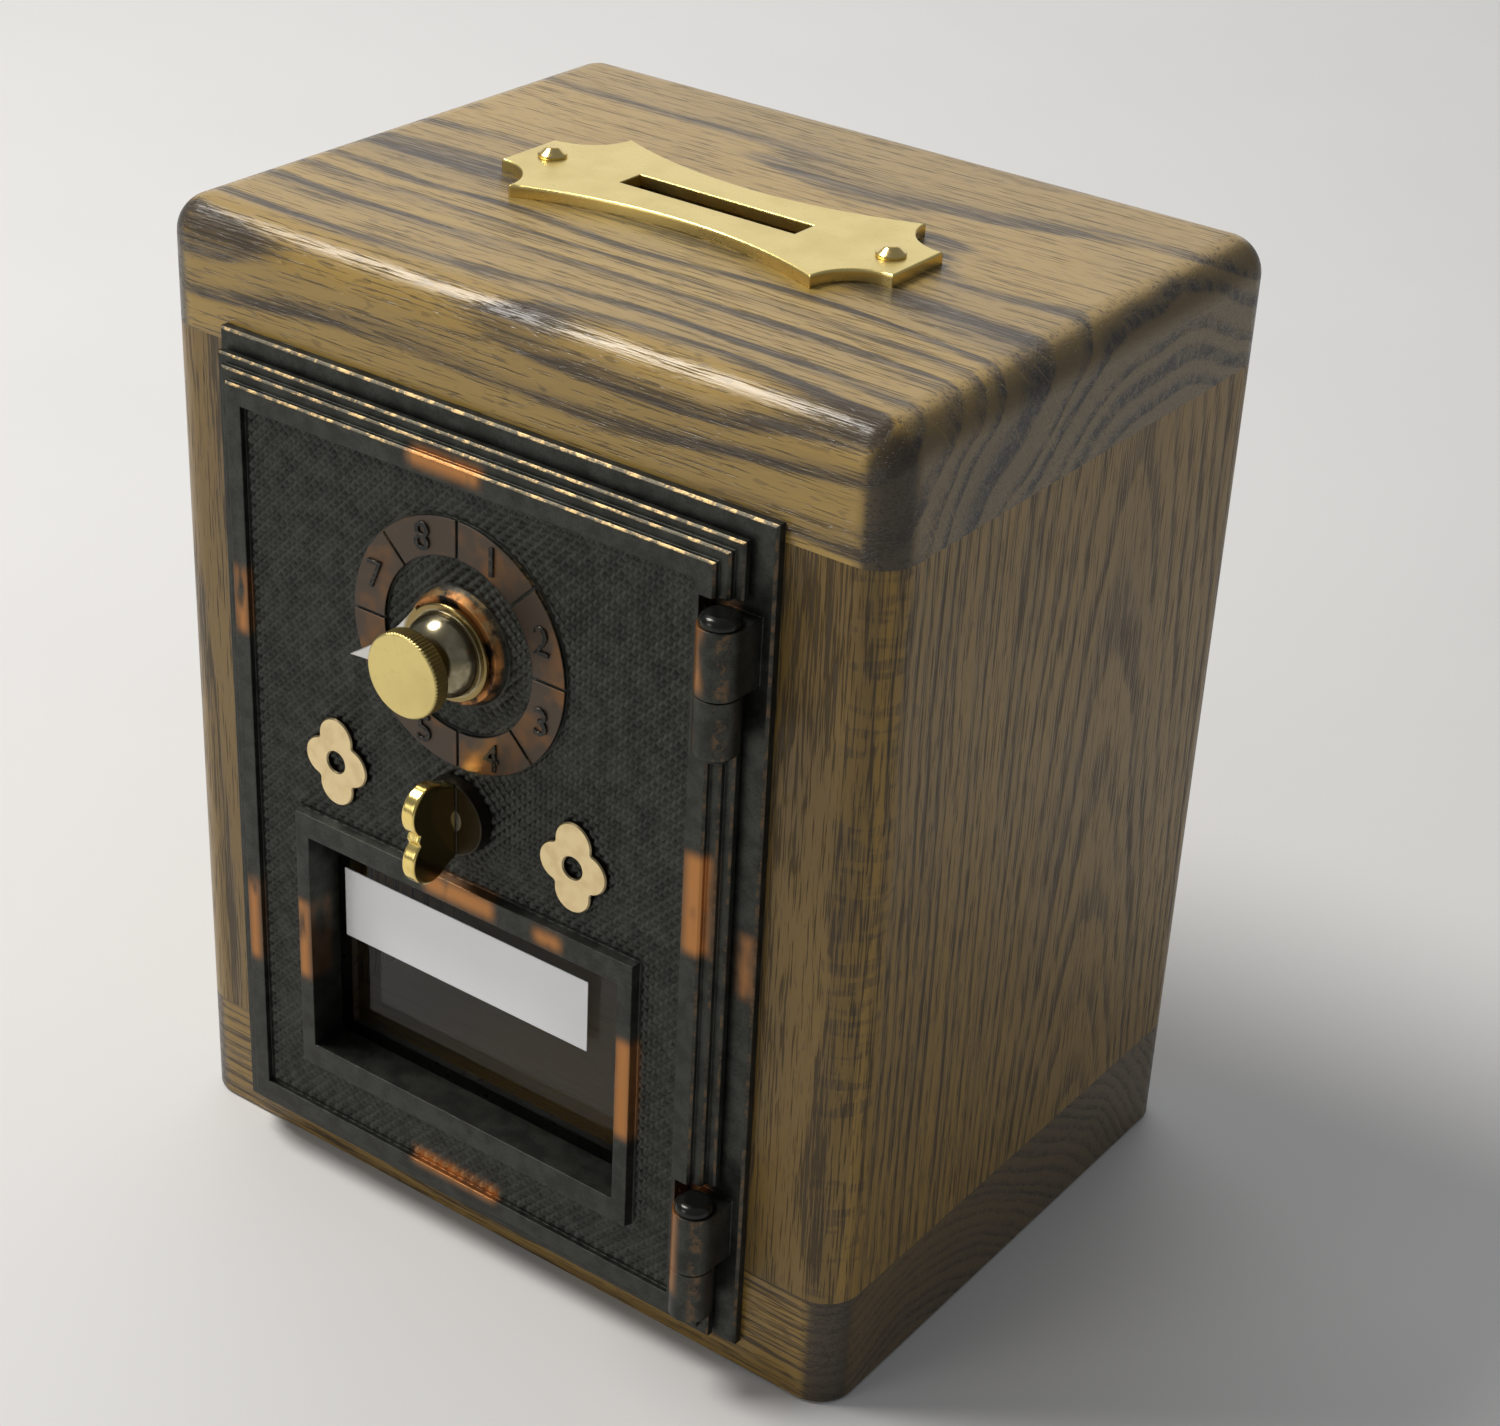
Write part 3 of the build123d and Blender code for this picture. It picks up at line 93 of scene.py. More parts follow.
class Look:
    """A material under construction, whose helpers add nodes and give back an output."""

    def __init__(self, name, **constants):
        self.material = bpy.data.materials.new(name)
        self.material.use_nodes = True
        self.tree = self.material.node_tree
        self.tree.nodes.clear()
        self.shader = self.tree.nodes.new("ShaderNodeBsdfPrincipled")
        output = self.tree.nodes.new("ShaderNodeOutputMaterial")
        self.tree.links.new(self.shader.outputs["BSDF"], output.inputs["Surface"])
        place = self.tree.nodes.new("ShaderNodeTexCoord")
        self.place = self.vector("SCALE", place.outputs["Object"], scale=1 / MM)
        self.x, self.y, self.z = self.split(self.place)
        self.facing = self.split(place.outputs["Normal"])
        for socket, value in constants.items():
            self.shader.inputs[socket.replace("_", " ")].default_value = value

    def feed(self, socket, value):
        if isinstance(value, bpy.types.NodeSocket):
            self.tree.links.new(value, socket)
        elif isinstance(value, tuple) and len(value) == 3 and socket.type == "RGBA":
            socket.default_value = (*value, 1.0)
        else:
            socket.default_value = value

    def set(self, socket, value):
        self.feed(self.shader.inputs[socket], value)

    def math(self, operation, *values, clamp=False):
        node = self.tree.nodes.new("ShaderNodeMath")
        node.operation = operation
        node.use_clamp = clamp
        for socket, value in zip(node.inputs, values):
            self.feed(socket, value)
        return node.outputs[0]

    def add(self, *values):
        total = values[0]
        for value in values[1:]:
            total = self.math("ADD", total, value)
        return total

    def times(self, *values):
        product = values[0]
        for value in values[1:]:
            product = self.math("MULTIPLY", product, value)
        return product

    def vector(self, operation, value, other=None, scale=None):
        node = self.tree.nodes.new("ShaderNodeVectorMath")
        node.operation = operation
        self.feed(node.inputs[0], value)
        if other is not None:
            self.feed(node.inputs[1], other)
        if scale is not None:
            self.feed(node.inputs["Scale"], scale)
        return node.outputs["Vector"]

    def split(self, value):
        node = self.tree.nodes.new("ShaderNodeSeparateXYZ")
        self.feed(node.inputs[0], value)
        return tuple(node.outputs)

    def join(self, x, y, z):
        node = self.tree.nodes.new("ShaderNodeCombineXYZ")
        for socket, value in zip(node.inputs, (x, y, z)):
            self.feed(socket, value)
        return node.outputs[0]

    def ramp(self, value, low, high, to_low=0.0, to_high=1.0):
        """A smooth step from to_low, at low, up to to_high, at high."""
        node = self.tree.nodes.new("ShaderNodeMapRange")
        node.interpolation_type = "SMOOTHSTEP"
        for socket, given in zip(node.inputs, (value, low, high, to_low, to_high)):
            self.feed(socket, given)
        return node.outputs[0]

    def noise(self, scale, place=None, detail=2.0, roughness=0.5, distortion=0.0, colour=False):
        """Noise with scale features per millimetre, one number or one for each axis."""
        node = self.tree.nodes.new("ShaderNodeTexNoise")
        place = self.place if place is None else place
        if isinstance(scale, tuple):
            place = self.vector("MULTIPLY", place, scale)
            scale = 1.0
        self.feed(node.inputs["Vector"], place)
        for socket, value in (("Scale", scale), ("Detail", detail), ("Roughness", roughness)):
            node.inputs[socket].default_value = value
        node.inputs["Distortion"].default_value = distortion
        return node.outputs["Color" if colour else "Fac"]

    def mix(self, factor, low, high):
        """A colour between low and high."""
        node = self.tree.nodes.new("ShaderNodeMix")
        node.data_type = "RGBA"
        self.feed(node.inputs[0], factor)
        self.feed(node.inputs[6], low)
        self.feed(node.inputs[7], high)
        return node.outputs[2]

    def bump(self, height, depth, strength=1.0, coat=False, edge=0.0):
        """Relief that stands depth millimetres proud at a height of 1, on edges rounded over edge."""
        node = self.tree.nodes.new("ShaderNodeBump")
        if edge:
            rounding = self.tree.nodes.new("ShaderNodeBevel")
            rounding.samples = EDGE_SAMPLES
            rounding.inputs["Radius"].default_value = edge * MM
            self.feed(node.inputs["Normal"], rounding.outputs[0])
        node.inputs["Strength"].default_value = strength
        node.inputs["Distance"].default_value = depth * MM
        self.feed(node.inputs["Height"], height)
        self.set("Normal", node.outputs[0])
        if coat:
            self.set("Coat Normal", node.outputs[0])

    def distance_from(self, first, second, centre):
        """Distance in a plane from a centre, given the two coordinates of that plane."""
        a = self.math("SUBTRACT", first, centre[0])
        b = self.math("SUBTRACT", second, centre[1])
        return self.math("SQRT", self.add(self.times(a, a), self.times(b, b)))


def oak(name, grain, pith, taper, light, dark, ring=2.4, wander=5.0, lacquer=0.55, flecks=None,
        bands=0.42, pore_strength=0.75, shaded_front=0.0, painted_light_inside=0.0):
    """Lacquered oak from a log whose heart runs along the grain at pith, the two other coordinates.

    taper is how much the growth rings widen per millimetre along the log, which draws the arches.
    flecks is the corner, in the same two coordinates, where the ray figure shows as dark rungs.
    shaded_front paints shade on the faces that look forward, for the door's shadow on the front edge,
    and the last argument paints light on the face that looks up, inside the case."""
    look = Look(name, Coat_Weight=lacquer, Coat_Roughness=0.20, Specular_IOR_Level=0.35)
    along, first, second = (look.x, look.y, look.z) if grain == "x" else (look.z, look.x, look.y)
    own_place = look.join(first, second, along)
    drift = look.split(look.noise((1 / 34, 1 / 34, 1 / 90), own_place, detail=1.5, colour=True))
    ripple = look.split(look.noise((1 / 6, 1 / 6, 1 / 26), own_place, detail=1.0, colour=True))
    a = look.add(first, -pith[0], look.times(look.math("SUBTRACT", drift[0], 0.5), 2 * wander))
    b = look.add(second, -pith[1], look.times(look.math("SUBTRACT", drift[1], 0.5), 2 * wander))
    radius = look.math("SQRT", look.add(look.times(a, a), look.times(b, b)))
    heart = look.ramp(look.math("ABSOLUTE", b), HEART_FAR, HEART_NEAR)
    middle = SIDE_MIDDLE_Z if grain == "z" else 0.0
    lean = look.times(look.add(along, -middle), taper, heart)
    radius = look.add(radius, lean, look.times(ripple[0], 1.3))
    age = look.math("DIVIDE", radius, ring)
    age = look.add(age, look.times(look.noise((0.09, 0.0, 0.0), look.join(radius, 0.0, 0.0)), 3.0))
    year = look.math("FRACT", age)
    early = look.add(look.ramp(year, 0.06, 0.60, 1.0, 0.0), look.ramp(year, 0.84, 1.0))
    early = look.math("MINIMUM", early, 1.0)
    broad = look.ramp(look.noise((0.35, 0.0, 0.0), look.join(age, 0.0, 0.0), detail=1.0), 0.35, 0.65)
    streak_noise = look.noise((0.55, 0.55, 0.03), own_place, detail=3.0, roughness=0.6)
    streaks = look.ramp(streak_noise, 0.38, 0.62)
    early = look.times(early, look.add(0.35, look.times(broad, 0.25), look.times(streaks, 0.65)))

    pore_noise = look.noise((3.8, 3.8, 0.11), own_place, detail=2.0, roughness=0.6)
    pores = look.ramp(look.add(pore_noise, look.times(early, 0.13)), 0.56, 0.67)
    fibre = look.noise((8.0, 8.0, 0.2), own_place, detail=1.0)
    turn = look.times(look.math("ARCTAN2", b, a), 60.0)
    ray_noise = look.noise((2.4, 0.07, 0.33), look.join(turn, radius, along), detail=1.0)
    rays = look.ramp(ray_noise, 0.62, 0.70)
    cloud = look.noise(1 / 28, detail=2.0)

    end = look.ramp(look.math("ABSOLUTE", look.facing[0 if grain == "x" else 2]), 0.25, 0.65)
    tone = look.add(look.times(early, bands), look.times(broad, 0.22), look.times(fibre, 0.30))
    tone = look.add(tone, look.times(cloud, 0.30), -0.28)
    colour = look.mix(look.math("MAXIMUM", tone, 0.0), light, dark)
    deep = tuple(0.32 * value for value in dark)
    colour = look.mix(look.times(pores, pore_strength), colour, deep)
    colour = look.mix(look.times(rays, 0.35), colour, tuple(0.55 * value for value in dark))
    if flecks:
        from_corner = look.distance_from(first, second, flecks)
        rungs = look.ramp(look.noise((0.10, 0.10, 0.42), own_place, detail=2.0), 0.50, 0.60)
        rungs = look.times(rungs, look.ramp(from_corner, 5.5, 2.5), look.ramp(pore_noise, 0.38, 0.52))
        colour = look.mix(look.times(rungs, 0.55), colour, deep)
    end_light = tuple(0.40 * value for value in light)
    end_dark = tuple(0.30 * value for value in dark)
    end_colour = look.mix(tone, end_light, end_dark)
    end_colour = look.mix(look.times(rays, 0.4), end_colour, tuple(0.60 * value for value in light))
    colour = look.mix(end, colour, end_colour)
    if grain == "x":
        # Upright rounded corners darkened towards the pore colour: partly the end grain's own darker
        # colour, partly painted shade.
        turned = look.times(look.facing[0], look.facing[1])
        corner_grain_and_shade = look.ramp(look.math("ABSOLUTE", turned), 0.05, 0.32)
        colour = look.mix(look.times(corner_grain_and_shade, 0.88), colour, deep)
    # Painted shade on the faces that look forward, standing in for the door's shadow.
    if shaded_front:
        forward = look.ramp(look.facing[1], -0.5, -0.9)
        colour = look.mix(look.times(forward, shaded_front), colour, deep)
    # Painted light on the face that looks up, the floor inside the case, lightened towards a paler oak.
    if painted_light_inside:
        upward = look.ramp(look.facing[2], 0.6, 0.9)
        painted_light_colour = tuple(1.5 * value for value in light)
        colour = look.mix(look.times(upward, painted_light_inside), colour, painted_light_colour)
    look.set("Base Color", colour)
    look.set("Roughness", look.add(0.42, look.times(pores, 0.25), look.times(fibre, 0.12)))
    relief = look.add(look.times(pores, -0.9), look.times(early, -0.30), look.times(fibre, 0.3))
    look.bump(relief, 0.09, coat=True)
    return look.material


def brass(name, colour, roughness, brushed=(3.0, 3.0, 3.0), tarnish=0.25, relief=0.01):
    """Brass with brush lines, whose scale is given for each axis, and clouds of tarnish."""
    look = Look(name, Metallic=1.0)
    lines = look.noise(brushed, detail=3.0, roughness=0.6)
    clouds = look.ramp(look.noise(0.12, detail=4.0), 0.38, 0.68)
    specks = look.ramp(look.noise(1.1, detail=3.0), 0.60, 0.72)
    dull = look.times(look.add(look.times(clouds, 0.8), look.times(specks, 0.5)), tarnish)
    dark = (colour[0] * 0.42, colour[1] * 0.36, colour[2] * 0.26)
    look.set("Base Color", look.mix(dull, colour, dark))
    look.set("Roughness", look.add(roughness, look.times(dull, 0.5), look.times(lines, 0.14), -0.07))
    look.bump(look.add(lines, look.times(specks, -0.5)), relief, edge=0.35)
    return look.material


def edge_mask(look):
    """1 on chamfers and rounded edges, whose faces look along none of the axes, and 0 on flat faces."""
    sizes = [look.math("ABSOLUTE", side) for side in look.facing]
    largest = look.math("MAXIMUM", look.math("MAXIMUM", sizes[0], sizes[1]), sizes[2])
    return look.ramp(largest, 0.80, 0.95, 1.0, 0.0)


CHARCOAL = (0.036, 0.037, 0.032)
SOOT = (0.014, 0.014, 0.013)
COPPER = (0.50, 0.215, 0.065)
DULL_COPPER = (0.20, 0.12, 0.06)
GOLD_WEAR_AND_HIGHLIGHT = (0.62, 0.44, 0.20)
RING_BROWN = (0.088, 0.066, 0.050)
RING_COPPER = (0.19, 0.095, 0.04)


def box_mask(look, low_x, high_x, low_z, high_z, soft=1.2):
    """1 inside an upright rectangle of the door's face, falling to 0 over a soft edge."""
    past_low_x = look.ramp(look.x, low_x - soft, low_x + soft)
    before_high_x = look.ramp(look.x, high_x + soft, high_x - soft)
    inside_x = look.times(past_low_x, before_high_x)
    past_low_z = look.ramp(look.z, low_z - soft, low_z + soft)
    before_high_z = look.ramp(look.z, high_z + soft, high_z - soft)
    inside_z = look.times(past_low_z, before_high_z)
    return look.times(inside_x, inside_z)


def bronze(name, rubbed=(), edge=0.25):
    """Oxidised bronze, worn to copper where hands have rubbed it, on edges rounded over edge, with gold
    on edges that face up: partly wear, partly a painted highlight.
    """
    look = Look(name, Metallic=0.85, Specular_IOR_Level=0.5)
    mottle = look.noise(0.35, detail=4.0, roughness=0.6)
    grit = look.noise(3.2, detail=3.0, roughness=0.6)
    colour = look.mix(look.ramp(mottle, 0.35, 0.65), CHARCOAL, tuple(1.7 * value for value in CHARCOAL))
    colour = look.mix(look.times(look.ramp(grit, 0.50, 0.70), 0.5), colour, SOOT)

    from_dial = look.distance_from(look.x, look.z, (DIAL.x, DIAL.z))
    raised = look.ramp(look.y, RING_Y + 0.10, RING_Y + 0.02)
    past_inner = look.ramp(from_dial, RING_IN_R - 0.2, RING_IN_R + 0.1)
    before_outer = look.ramp(from_dial, RING_OUT_R + 0.2, RING_OUT_R - 0.1)
    in_ring = look.times(past_inner, before_outer)
    ring = look.times(in_ring, raised)
    ring_tone = look.mix(look.ramp(look.noise(0.16, detail=3.0), 0.48, 0.70), RING_BROWN, RING_COPPER)
    colour = look.mix(look.times(ring, 0.92), colour, ring_tone)
    inside_boss = look.ramp(from_dial, BOSS_R - 0.1, BOSS_R - 0.6)
    proud = look.ramp(look.y, FIELD_Y - 0.4, FIELD_Y - 0.8)
    on_boss = look.times(inside_boss, proud)
    boss_tone = look.mix(look.ramp(look.noise(0.35, detail=3.0), 0.42, 0.62), COPPER, SOOT)
    colour = look.mix(on_boss, colour, boss_tone)

    edges = edge_mask(look) if edge else 0.0
    broken = look.ramp(look.noise(0.55, detail=5.0, roughness=0.7), 0.46, 0.62)
    upward = look.ramp(look.facing[2], 0.2, 0.6)
    colour = look.mix(look.times(edges, broken, 0.55), colour, DULL_COPPER)
    # Edges that face up go to old gold: partly brass rubbed bare, partly a painted highlight of the
    # light from above.
    worn_and_lit_edge = look.times(edges, upward, look.add(look.times(broken, 0.45), 0.05))
    colour = look.mix(worn_and_lit_edge, colour, GOLD_WEAR_AND_HIGHLIGHT)
    wear = look.times(edges, 0.5)
    patch = None
    for place in rubbed:
        spot = box_mask(look, *place)
        patch = spot if patch is None else look.math("MAXIMUM", patch, spot)
    if patch is not None:
        outside = look.ramp(look.y, FIELD_Y + 3.5, FIELD_Y + 2.0)
        broken_up = look.ramp(look.noise((0.30, 0.30, 0.10), detail=2.0), 0.22, 0.50)
        patch = look.times(patch, outside, broken_up)
        colour = look.mix(look.times(patch, 0.9), colour, COPPER)
        wear = look.math("MAXIMUM", wear, patch)
    look.set("Base Color", colour)
    smooth = look.math("MAXIMUM", wear, look.times(ring, 0.2))
    look.set("Roughness", look.add(0.36, look.times(mottle, 0.18), look.times(smooth, -0.12)))
    look.bump(look.add(look.times(grit, 0.7), look.times(mottle, 0.8)), 0.035, edge=edge)
    return look.material


def steel(name, colour, roughness):
    """Dull steel with fine scratches and a few rust-brown freckles."""
    look = Look(name, Metallic=1.0)
    scratches = look.noise((0.5, 4.0, 4.0), detail=3.0)
    freckles = look.ramp(look.noise(0.8, detail=4.0), 0.60, 0.70)
    look.set("Base Color", look.mix(look.times(freckles, 0.6), colour, (0.16, 0.10, 0.06)))
    look.set("Roughness", look.add(roughness, look.times(scratches, 0.16), look.times(freckles, 0.2)))
    look.bump(scratches, 0.01)
    return look.material


def worn_nickel():
    """Nickel plate rubbed through to brass on the bell's rim."""
    look = Look("worn_nickel", Metallic=1.0)
    from_axis = look.distance_from(look.x, look.z, (DIAL.x, DIAL.z))
    cloud = look.ramp(look.noise(0.5, detail=4.0), 0.38, 0.66)
    rim = look.times(look.ramp(from_axis, 6.0, 6.4), look.ramp(from_axis, 7.3, 7.1))
    colour = look.mix(look.times(cloud, 0.55), (0.36, 0.32, 0.21), (0.15, 0.12, 0.065))
    colour = look.mix(rim, colour, (0.30, 0.22, 0.09))
    pointer = look.ramp(from_axis, 7.2, 7.8)
    colour = look.mix(pointer, colour, (0.66, 0.65, 0.62))
    look.set("Base Color", colour)
    look.set("Roughness", look.add(0.17, look.times(cloud, 0.10), look.times(pointer, 0.18)))
    look.bump(look.noise(5.0, detail=2.0), 0.006, edge=0.3)
    return look.material


def black_gloss():
    """Glossy black on the hinge pins' heads."""
    look = Look("pin_black", Metallic=0.7)
    cloud = look.noise(0.9, detail=3.0)
    look.set("Base Color", look.mix(cloud, SOOT, CHARCOAL))
    look.set("Roughness", look.add(0.14, look.times(cloud, 0.12)))
    look.bump(cloud, 0.02, edge=0.2)
    return look.material


def glass():
    """Slightly dusty window glass."""
    look = Look("window_glass", IOR=1.25, Transmission_Weight=1.0)
    dust = look.ramp(look.noise(0.25, detail=4.0), 0.45, 0.75)
    look.set("Base Color", look.mix(look.times(dust, 0.5), (0.98, 0.99, 0.985), (0.92, 0.93, 0.90)))
    look.set("Roughness", look.times(dust, 0.05))
    return look.material


def card():
    """Matt white card with a faint fibre and a little yellowing."""
    look = Look("white_card", Roughness=0.75)
    fibre = look.noise((2.0, 2.0, 5.0), detail=3.0)
    yellowing = look.ramp(look.noise(0.08, detail=3.0), 0.40, 0.70)
    look.set("Base Color", look.mix(look.times(yellowing, 0.5), (0.97, 0.97, 0.98), (0.93, 0.93, 0.92)))
    look.bump(fibre, 0.02)
    return look.material


def iron(name):
    """Rough black cast iron."""
    look = Look(name, Metallic=0.6)
    lumps = look.noise(1.3, detail=4.0, roughness=0.6)
    raised = look.ramp(lumps, 0.4, 0.7)
    look.set("Base Color", look.mix(raised, (0.045, 0.042, 0.038), (0.10, 0.085, 0.07)))
    look.set("Roughness", look.add(0.45, look.times(lumps, 0.3)))
    look.bump(lumps, 0.12)
    return look.material


def plain_wood(name, colour):
    """Unfinished wood for the dowels."""
    look = Look(name, Roughness=0.7)
    streak = look.noise((3.0, 3.0, 0.15), detail=3.0)
    look.set("Base Color", look.mix(streak, colour, tuple(0.6 * value for value in colour)))
    look.bump(streak, 0.05)
    return look.material


# ---------------------------------------------------------------- finishes of the CAD nodes

LID_LIGHT = (0.42, 0.265, 0.055)
LID_DARK = (0.085, 0.054, 0.022)
SIDE_LIGHT = (0.29, 0.168, 0.022)
SIDE_DARK = (0.10, 0.058, 0.016)

KNUCKLES_RUBBED = (
    (37.6, 39.9, 110.6, 119.8),
    (37.0, 39.6, 16.5, 31.0),
)
FRAME_RUBBED = KNUCKLES_RUBBED + (
    (-48.4, -47.4, 97.0, 107.0),
    (42.6, 45.2, 63.5, 73.0),
)
DOOR_RUBBED = KNUCKLES_RUBBED + (
    (-43.6, -41.6, 89.0, 99.0),
    (-43.8, -41.9, 34.0, 48.0),
    (-33.4, -31.2, 35.5, 48.5),
    (-12.0, 4.0, 11.3, 13.4),
    (25.8, 28.6, 35.0, 51.0),
    (36.0, 39.4, 69.5, 84.5),
    (-11.0, 1.0, 124.6, 126.6),
    (-8.5, 4.0, 60.6, 63.4),
    (11.4, 16.0, 60.6, 62.6),
)

lock_brass = brass("lock_brass", (0.62, 0.46, 0.20), 0.36, (1.0, 4.0, 1.0), 0.7)
dull_steel = steel("steel", (0.42, 0.41, 0.40), 0.34)
door_bronze = bronze("dark_bronze", DOOR_RUBBED)
frame_bronze = bronze("frame_bronze", FRAME_RUBBED)
polished = brass("polished_brass", (0.86, 0.66, 0.27), 0.16, (1.0, 5.0, 1.0), 0.25, 0.006)
small_screw_brass = brass("screw_brass", (0.70, 0.52, 0.24), 0.30, tarnish=0.6)
lid_brass = brass("plate_brass", (0.86, 0.69, 0.27), 0.27, (0.35, 5.0, 5.0), 0.18, 0.008)


def thumb_brass():
    """Polished brass on the thumb turn's wing, with painted shade on the wing's flat sides, and a
    blackened base.
    """
    look = Look("thumb_brass", Metallic=1.0)
    smear = look.ramp(look.noise(0.5, detail=4.0), 0.40, 0.70)
    wing = look.mix(look.times(smear, 0.25), (0.90, 0.70, 0.24), (0.45, 0.30, 0.09))
    base = look.ramp(look.y, THUMB_BASE_Y - 0.3, THUMB_BASE_Y + 0.3)
    # Painted shade: the wing's flat sides, which look along X, are darkened.
    side = look.ramp(look.math("ABSOLUTE", look.facing[0]), 0.80, 0.97)
    wing = look.mix(look.times(side, 0.75), wing, (0.12, 0.085, 0.035))
    look.set("Base Color", look.mix(base, wing, (0.055, 0.047, 0.035)))
    look.set("Roughness", look.add(0.16, look.times(smear, 0.08), look.times(base, 0.15)))
    look.bump(look.noise(3.0, detail=2.0), 0.006, edge=0.3)
    return look.material


def ornament_brass():
    """Satin brass on the face, with sides left black from the casting."""
    look = Look("ornament_brass", Metallic=1.0)
    front = look.ramp(look.facing[1], -0.6, -0.85)
    cloud = look.ramp(look.noise(0.5, detail=4.0), 0.40, 0.68)
    face = look.mix(look.times(cloud, 0.3), (0.80, 0.64, 0.36), (0.55, 0.40, 0.19))
    look.set("Base Color", look.mix(front, (0.05, 0.04, 0.03), face))
    look.set("Roughness", look.add(0.30, look.times(cloud, 0.12)))
    look.bump(look.noise(4.0, detail=3.0), 0.012)
    return look.material


satin_brass = ornament_brass()

FINISHES = {
    "top_board": oak("oak_top", "x", (22.0, 88.0), 0.012, LID_LIGHT, LID_DARK, ring=4.6, wander=8.0,
                     lacquer=0.60, bands=0.85, pore_strength=0.65),
    # The bottom board's floor inside the case gets painted light.
    "bottom_board": oak("oak_bottom", "x", (-30.0, -40.0), -0.01, SIDE_LIGHT, SIDE_DARK, ring=2.0,
                        painted_light_inside=0.8),
    "left_side": oak("oak_left", "z", (-38.0, -8.0), 0.09, SIDE_LIGHT, SIDE_DARK, ring=2.2,
                     wander=2.5, shaded_front=0.25),
    "right_side": oak("oak_right", "z", (47.0, 13.0), 0.10, SIDE_LIGHT, SIDE_DARK, ring=2.1, wander=2.5,
                      lacquer=0.35, flecks=(59.0, -45.0), shaded_front=0.40),
    "back_panel": oak("oak_back", "z", (8.0, 25.0), 0.06, SIDE_LIGHT, SIDE_DARK, ring=2.6),
    "back_screws": small_screw_brass,
    "dowels": plain_wood("beech", (0.55, 0.40, 0.24)),
    "slot_plate": lid_brass,
    "plate_pins": polished,
    "door_frame": frame_bronze,
    "frame_screws": dull_steel,
    "hinge_pins": black_gloss(),
    "door_casting": door_bronze,
    "window_glass": glass(),
    "window_label": card(),
    "glass_retainer": dull_steel,
    "retainer_screws": dull_steel,
    "left_ornament": satin_brass,
    "right_ornament": satin_brass,
    "dial_knob": worn_nickel(),
    "dial_grip": brass("grip_brass", (0.74, 0.60, 0.24), 0.30, (2.5, 2.5, 2.5), 0.18, 0.01),
    "dial_spindle": dull_steel,
    "drive_wheel": lock_brass,
    "tumbler_wheel_1": lock_brass,
    "tumbler_wheel_2": lock_brass,
    "tumbler_wheel_3": lock_brass,
    "wheel_post": lock_brass,
    "wheel_spacers": dull_steel,
    "thumb_knob": thumb_brass(),
    "thumb_spindle": dull_steel,
    "lock_cam": dull_steel,
    "lock_bolt": lock_brass,
    "bolt_guide": dull_steel,
    "guide_rivets": small_screw_brass,
    "lock_case": iron("lock_case_iron"),
    "lock_cover": lock_brass,
    "cover_screws": dull_steel,
}


def finish_node(node, material):
    """Gives a CAD node its material."""
    target = frame["nodes"][node]
    if not target.material_slots:
        target.data.materials.append(material)
    for slot in target.material_slots:
        slot.material = material


for node, material in FINISHES.items():
    finish_node(node, material)


# ---------------------------------------------------------------- pieces added to the casting


def add_piece(name, mesh, body, material):
    """A piece from a mesh in row-frame metres, riding on a body."""
    piece = bpy.data.objects.new(name, mesh)
    bpy.context.scene.collection.objects.link(piece)
    mesh.materials.clear()
    mesh.materials.append(material)
    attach(piece, body)
    return piece


KNURL_SIDE = 1.27
KNURL_H = 0.40
KNURL_STEPS = 4
KNURL_SEED = 7
KNURL_FULLNESS = 1.6
KNURL_FLOOR = 0.02
KNURL_MARGIN = 0.25
KNURL_FADE = 0.4
KNURL_SINK = 0.05


def field_depth(x, z):
    """How far a point of the door's face is inside the knurled field; negative outside it."""
    from_dial = math.hypot(x - DIAL.x, z - DIAL.z)
    edges = min(x - FIELD[0], FIELD[1] - x, z - FIELD[2], FIELD[3] - z)
    ring = max(RING_IN_R - from_dial, from_dial - RING_OUT_R)
    boss = from_dial - BOSS_R
    window = max(abs(x - WINDOW.x) - BEZEL_HALF[0], abs(z - WINDOW.z) - BEZEL_HALF[1])
    return min(edges, ring, boss, window) - KNURL_MARGIN


def knurl_mesh():
    """The field's diamond knurl: low pillows on a square lattice turned by 45 degrees."""
    shake = random.Random(KNURL_SEED)
    pitch = KNURL_SIDE * math.sqrt(2)
    columns = int((FIELD[1] - FIELD[0]) / pitch) + 2
    rows = int((FIELD[3] - FIELD[2]) / pitch) + 2
    points, faces = [], []
    steps = [2 * i / KNURL_STEPS - 1 for i in range(KNURL_STEPS + 1)]
    for row in range(2 * rows):
        for column in range(columns):
            centre_x = FIELD[0] + (column + 0.5 * (row % 2)) * pitch
            centre_z = FIELD[2] + 0.5 * row * pitch
            rise = KNURL_H * shake.uniform(0.8, 1.1)
            if field_depth(centre_x, centre_z) < -0.5 * pitch:
                continue
            first = len(points)
            depths = []
            for u in steps:
                for v in steps:
                    x = centre_x + (u + v) * pitch / 4
                    z = centre_z + (u - v) * pitch / 4
                    depth = field_depth(x, z)
                    depths.append(depth)
                    lift = rise * (1 - abs(u) ** KNURL_FULLNESS) * (1 - abs(v) ** KNURL_FULLNESS)
                    lift += KNURL_FLOOR
                    lift = lift * min(1.0, depth / KNURL_FADE) if depth > 0 else -KNURL_SINK
                    points.append((x * MM, (FIELD_Y - lift) * MM, z * MM))
            if max(depths) <= 0:
                del points[first:]
                continue
            width = KNURL_STEPS + 1
            for i in range(KNURL_STEPS):
                for j in range(KNURL_STEPS):
                    corner = first + i * width + j
                    faces.append((corner, corner + width, corner + width + 1, corner + 1))
    mesh = bpy.data.meshes.new("field_knurl")
    mesh.from_pydata(points, [], faces)
    mesh.shade_smooth()
    mesh.update()
    return mesh


knurl_bronze = bronze("knurl_bronze", DOOR_RUBBED, edge=0.0)
add_piece("field_knurl", knurl_mesh(), "door", knurl_bronze)

NUMERAL_H = 4.1
NUMERAL_W = 2.5
NUMERAL_RISE = 0.30
NUMERAL_SINK = 0.10
NUMERAL_COUNT = 8
NARROW_NUMERAL = 0.6


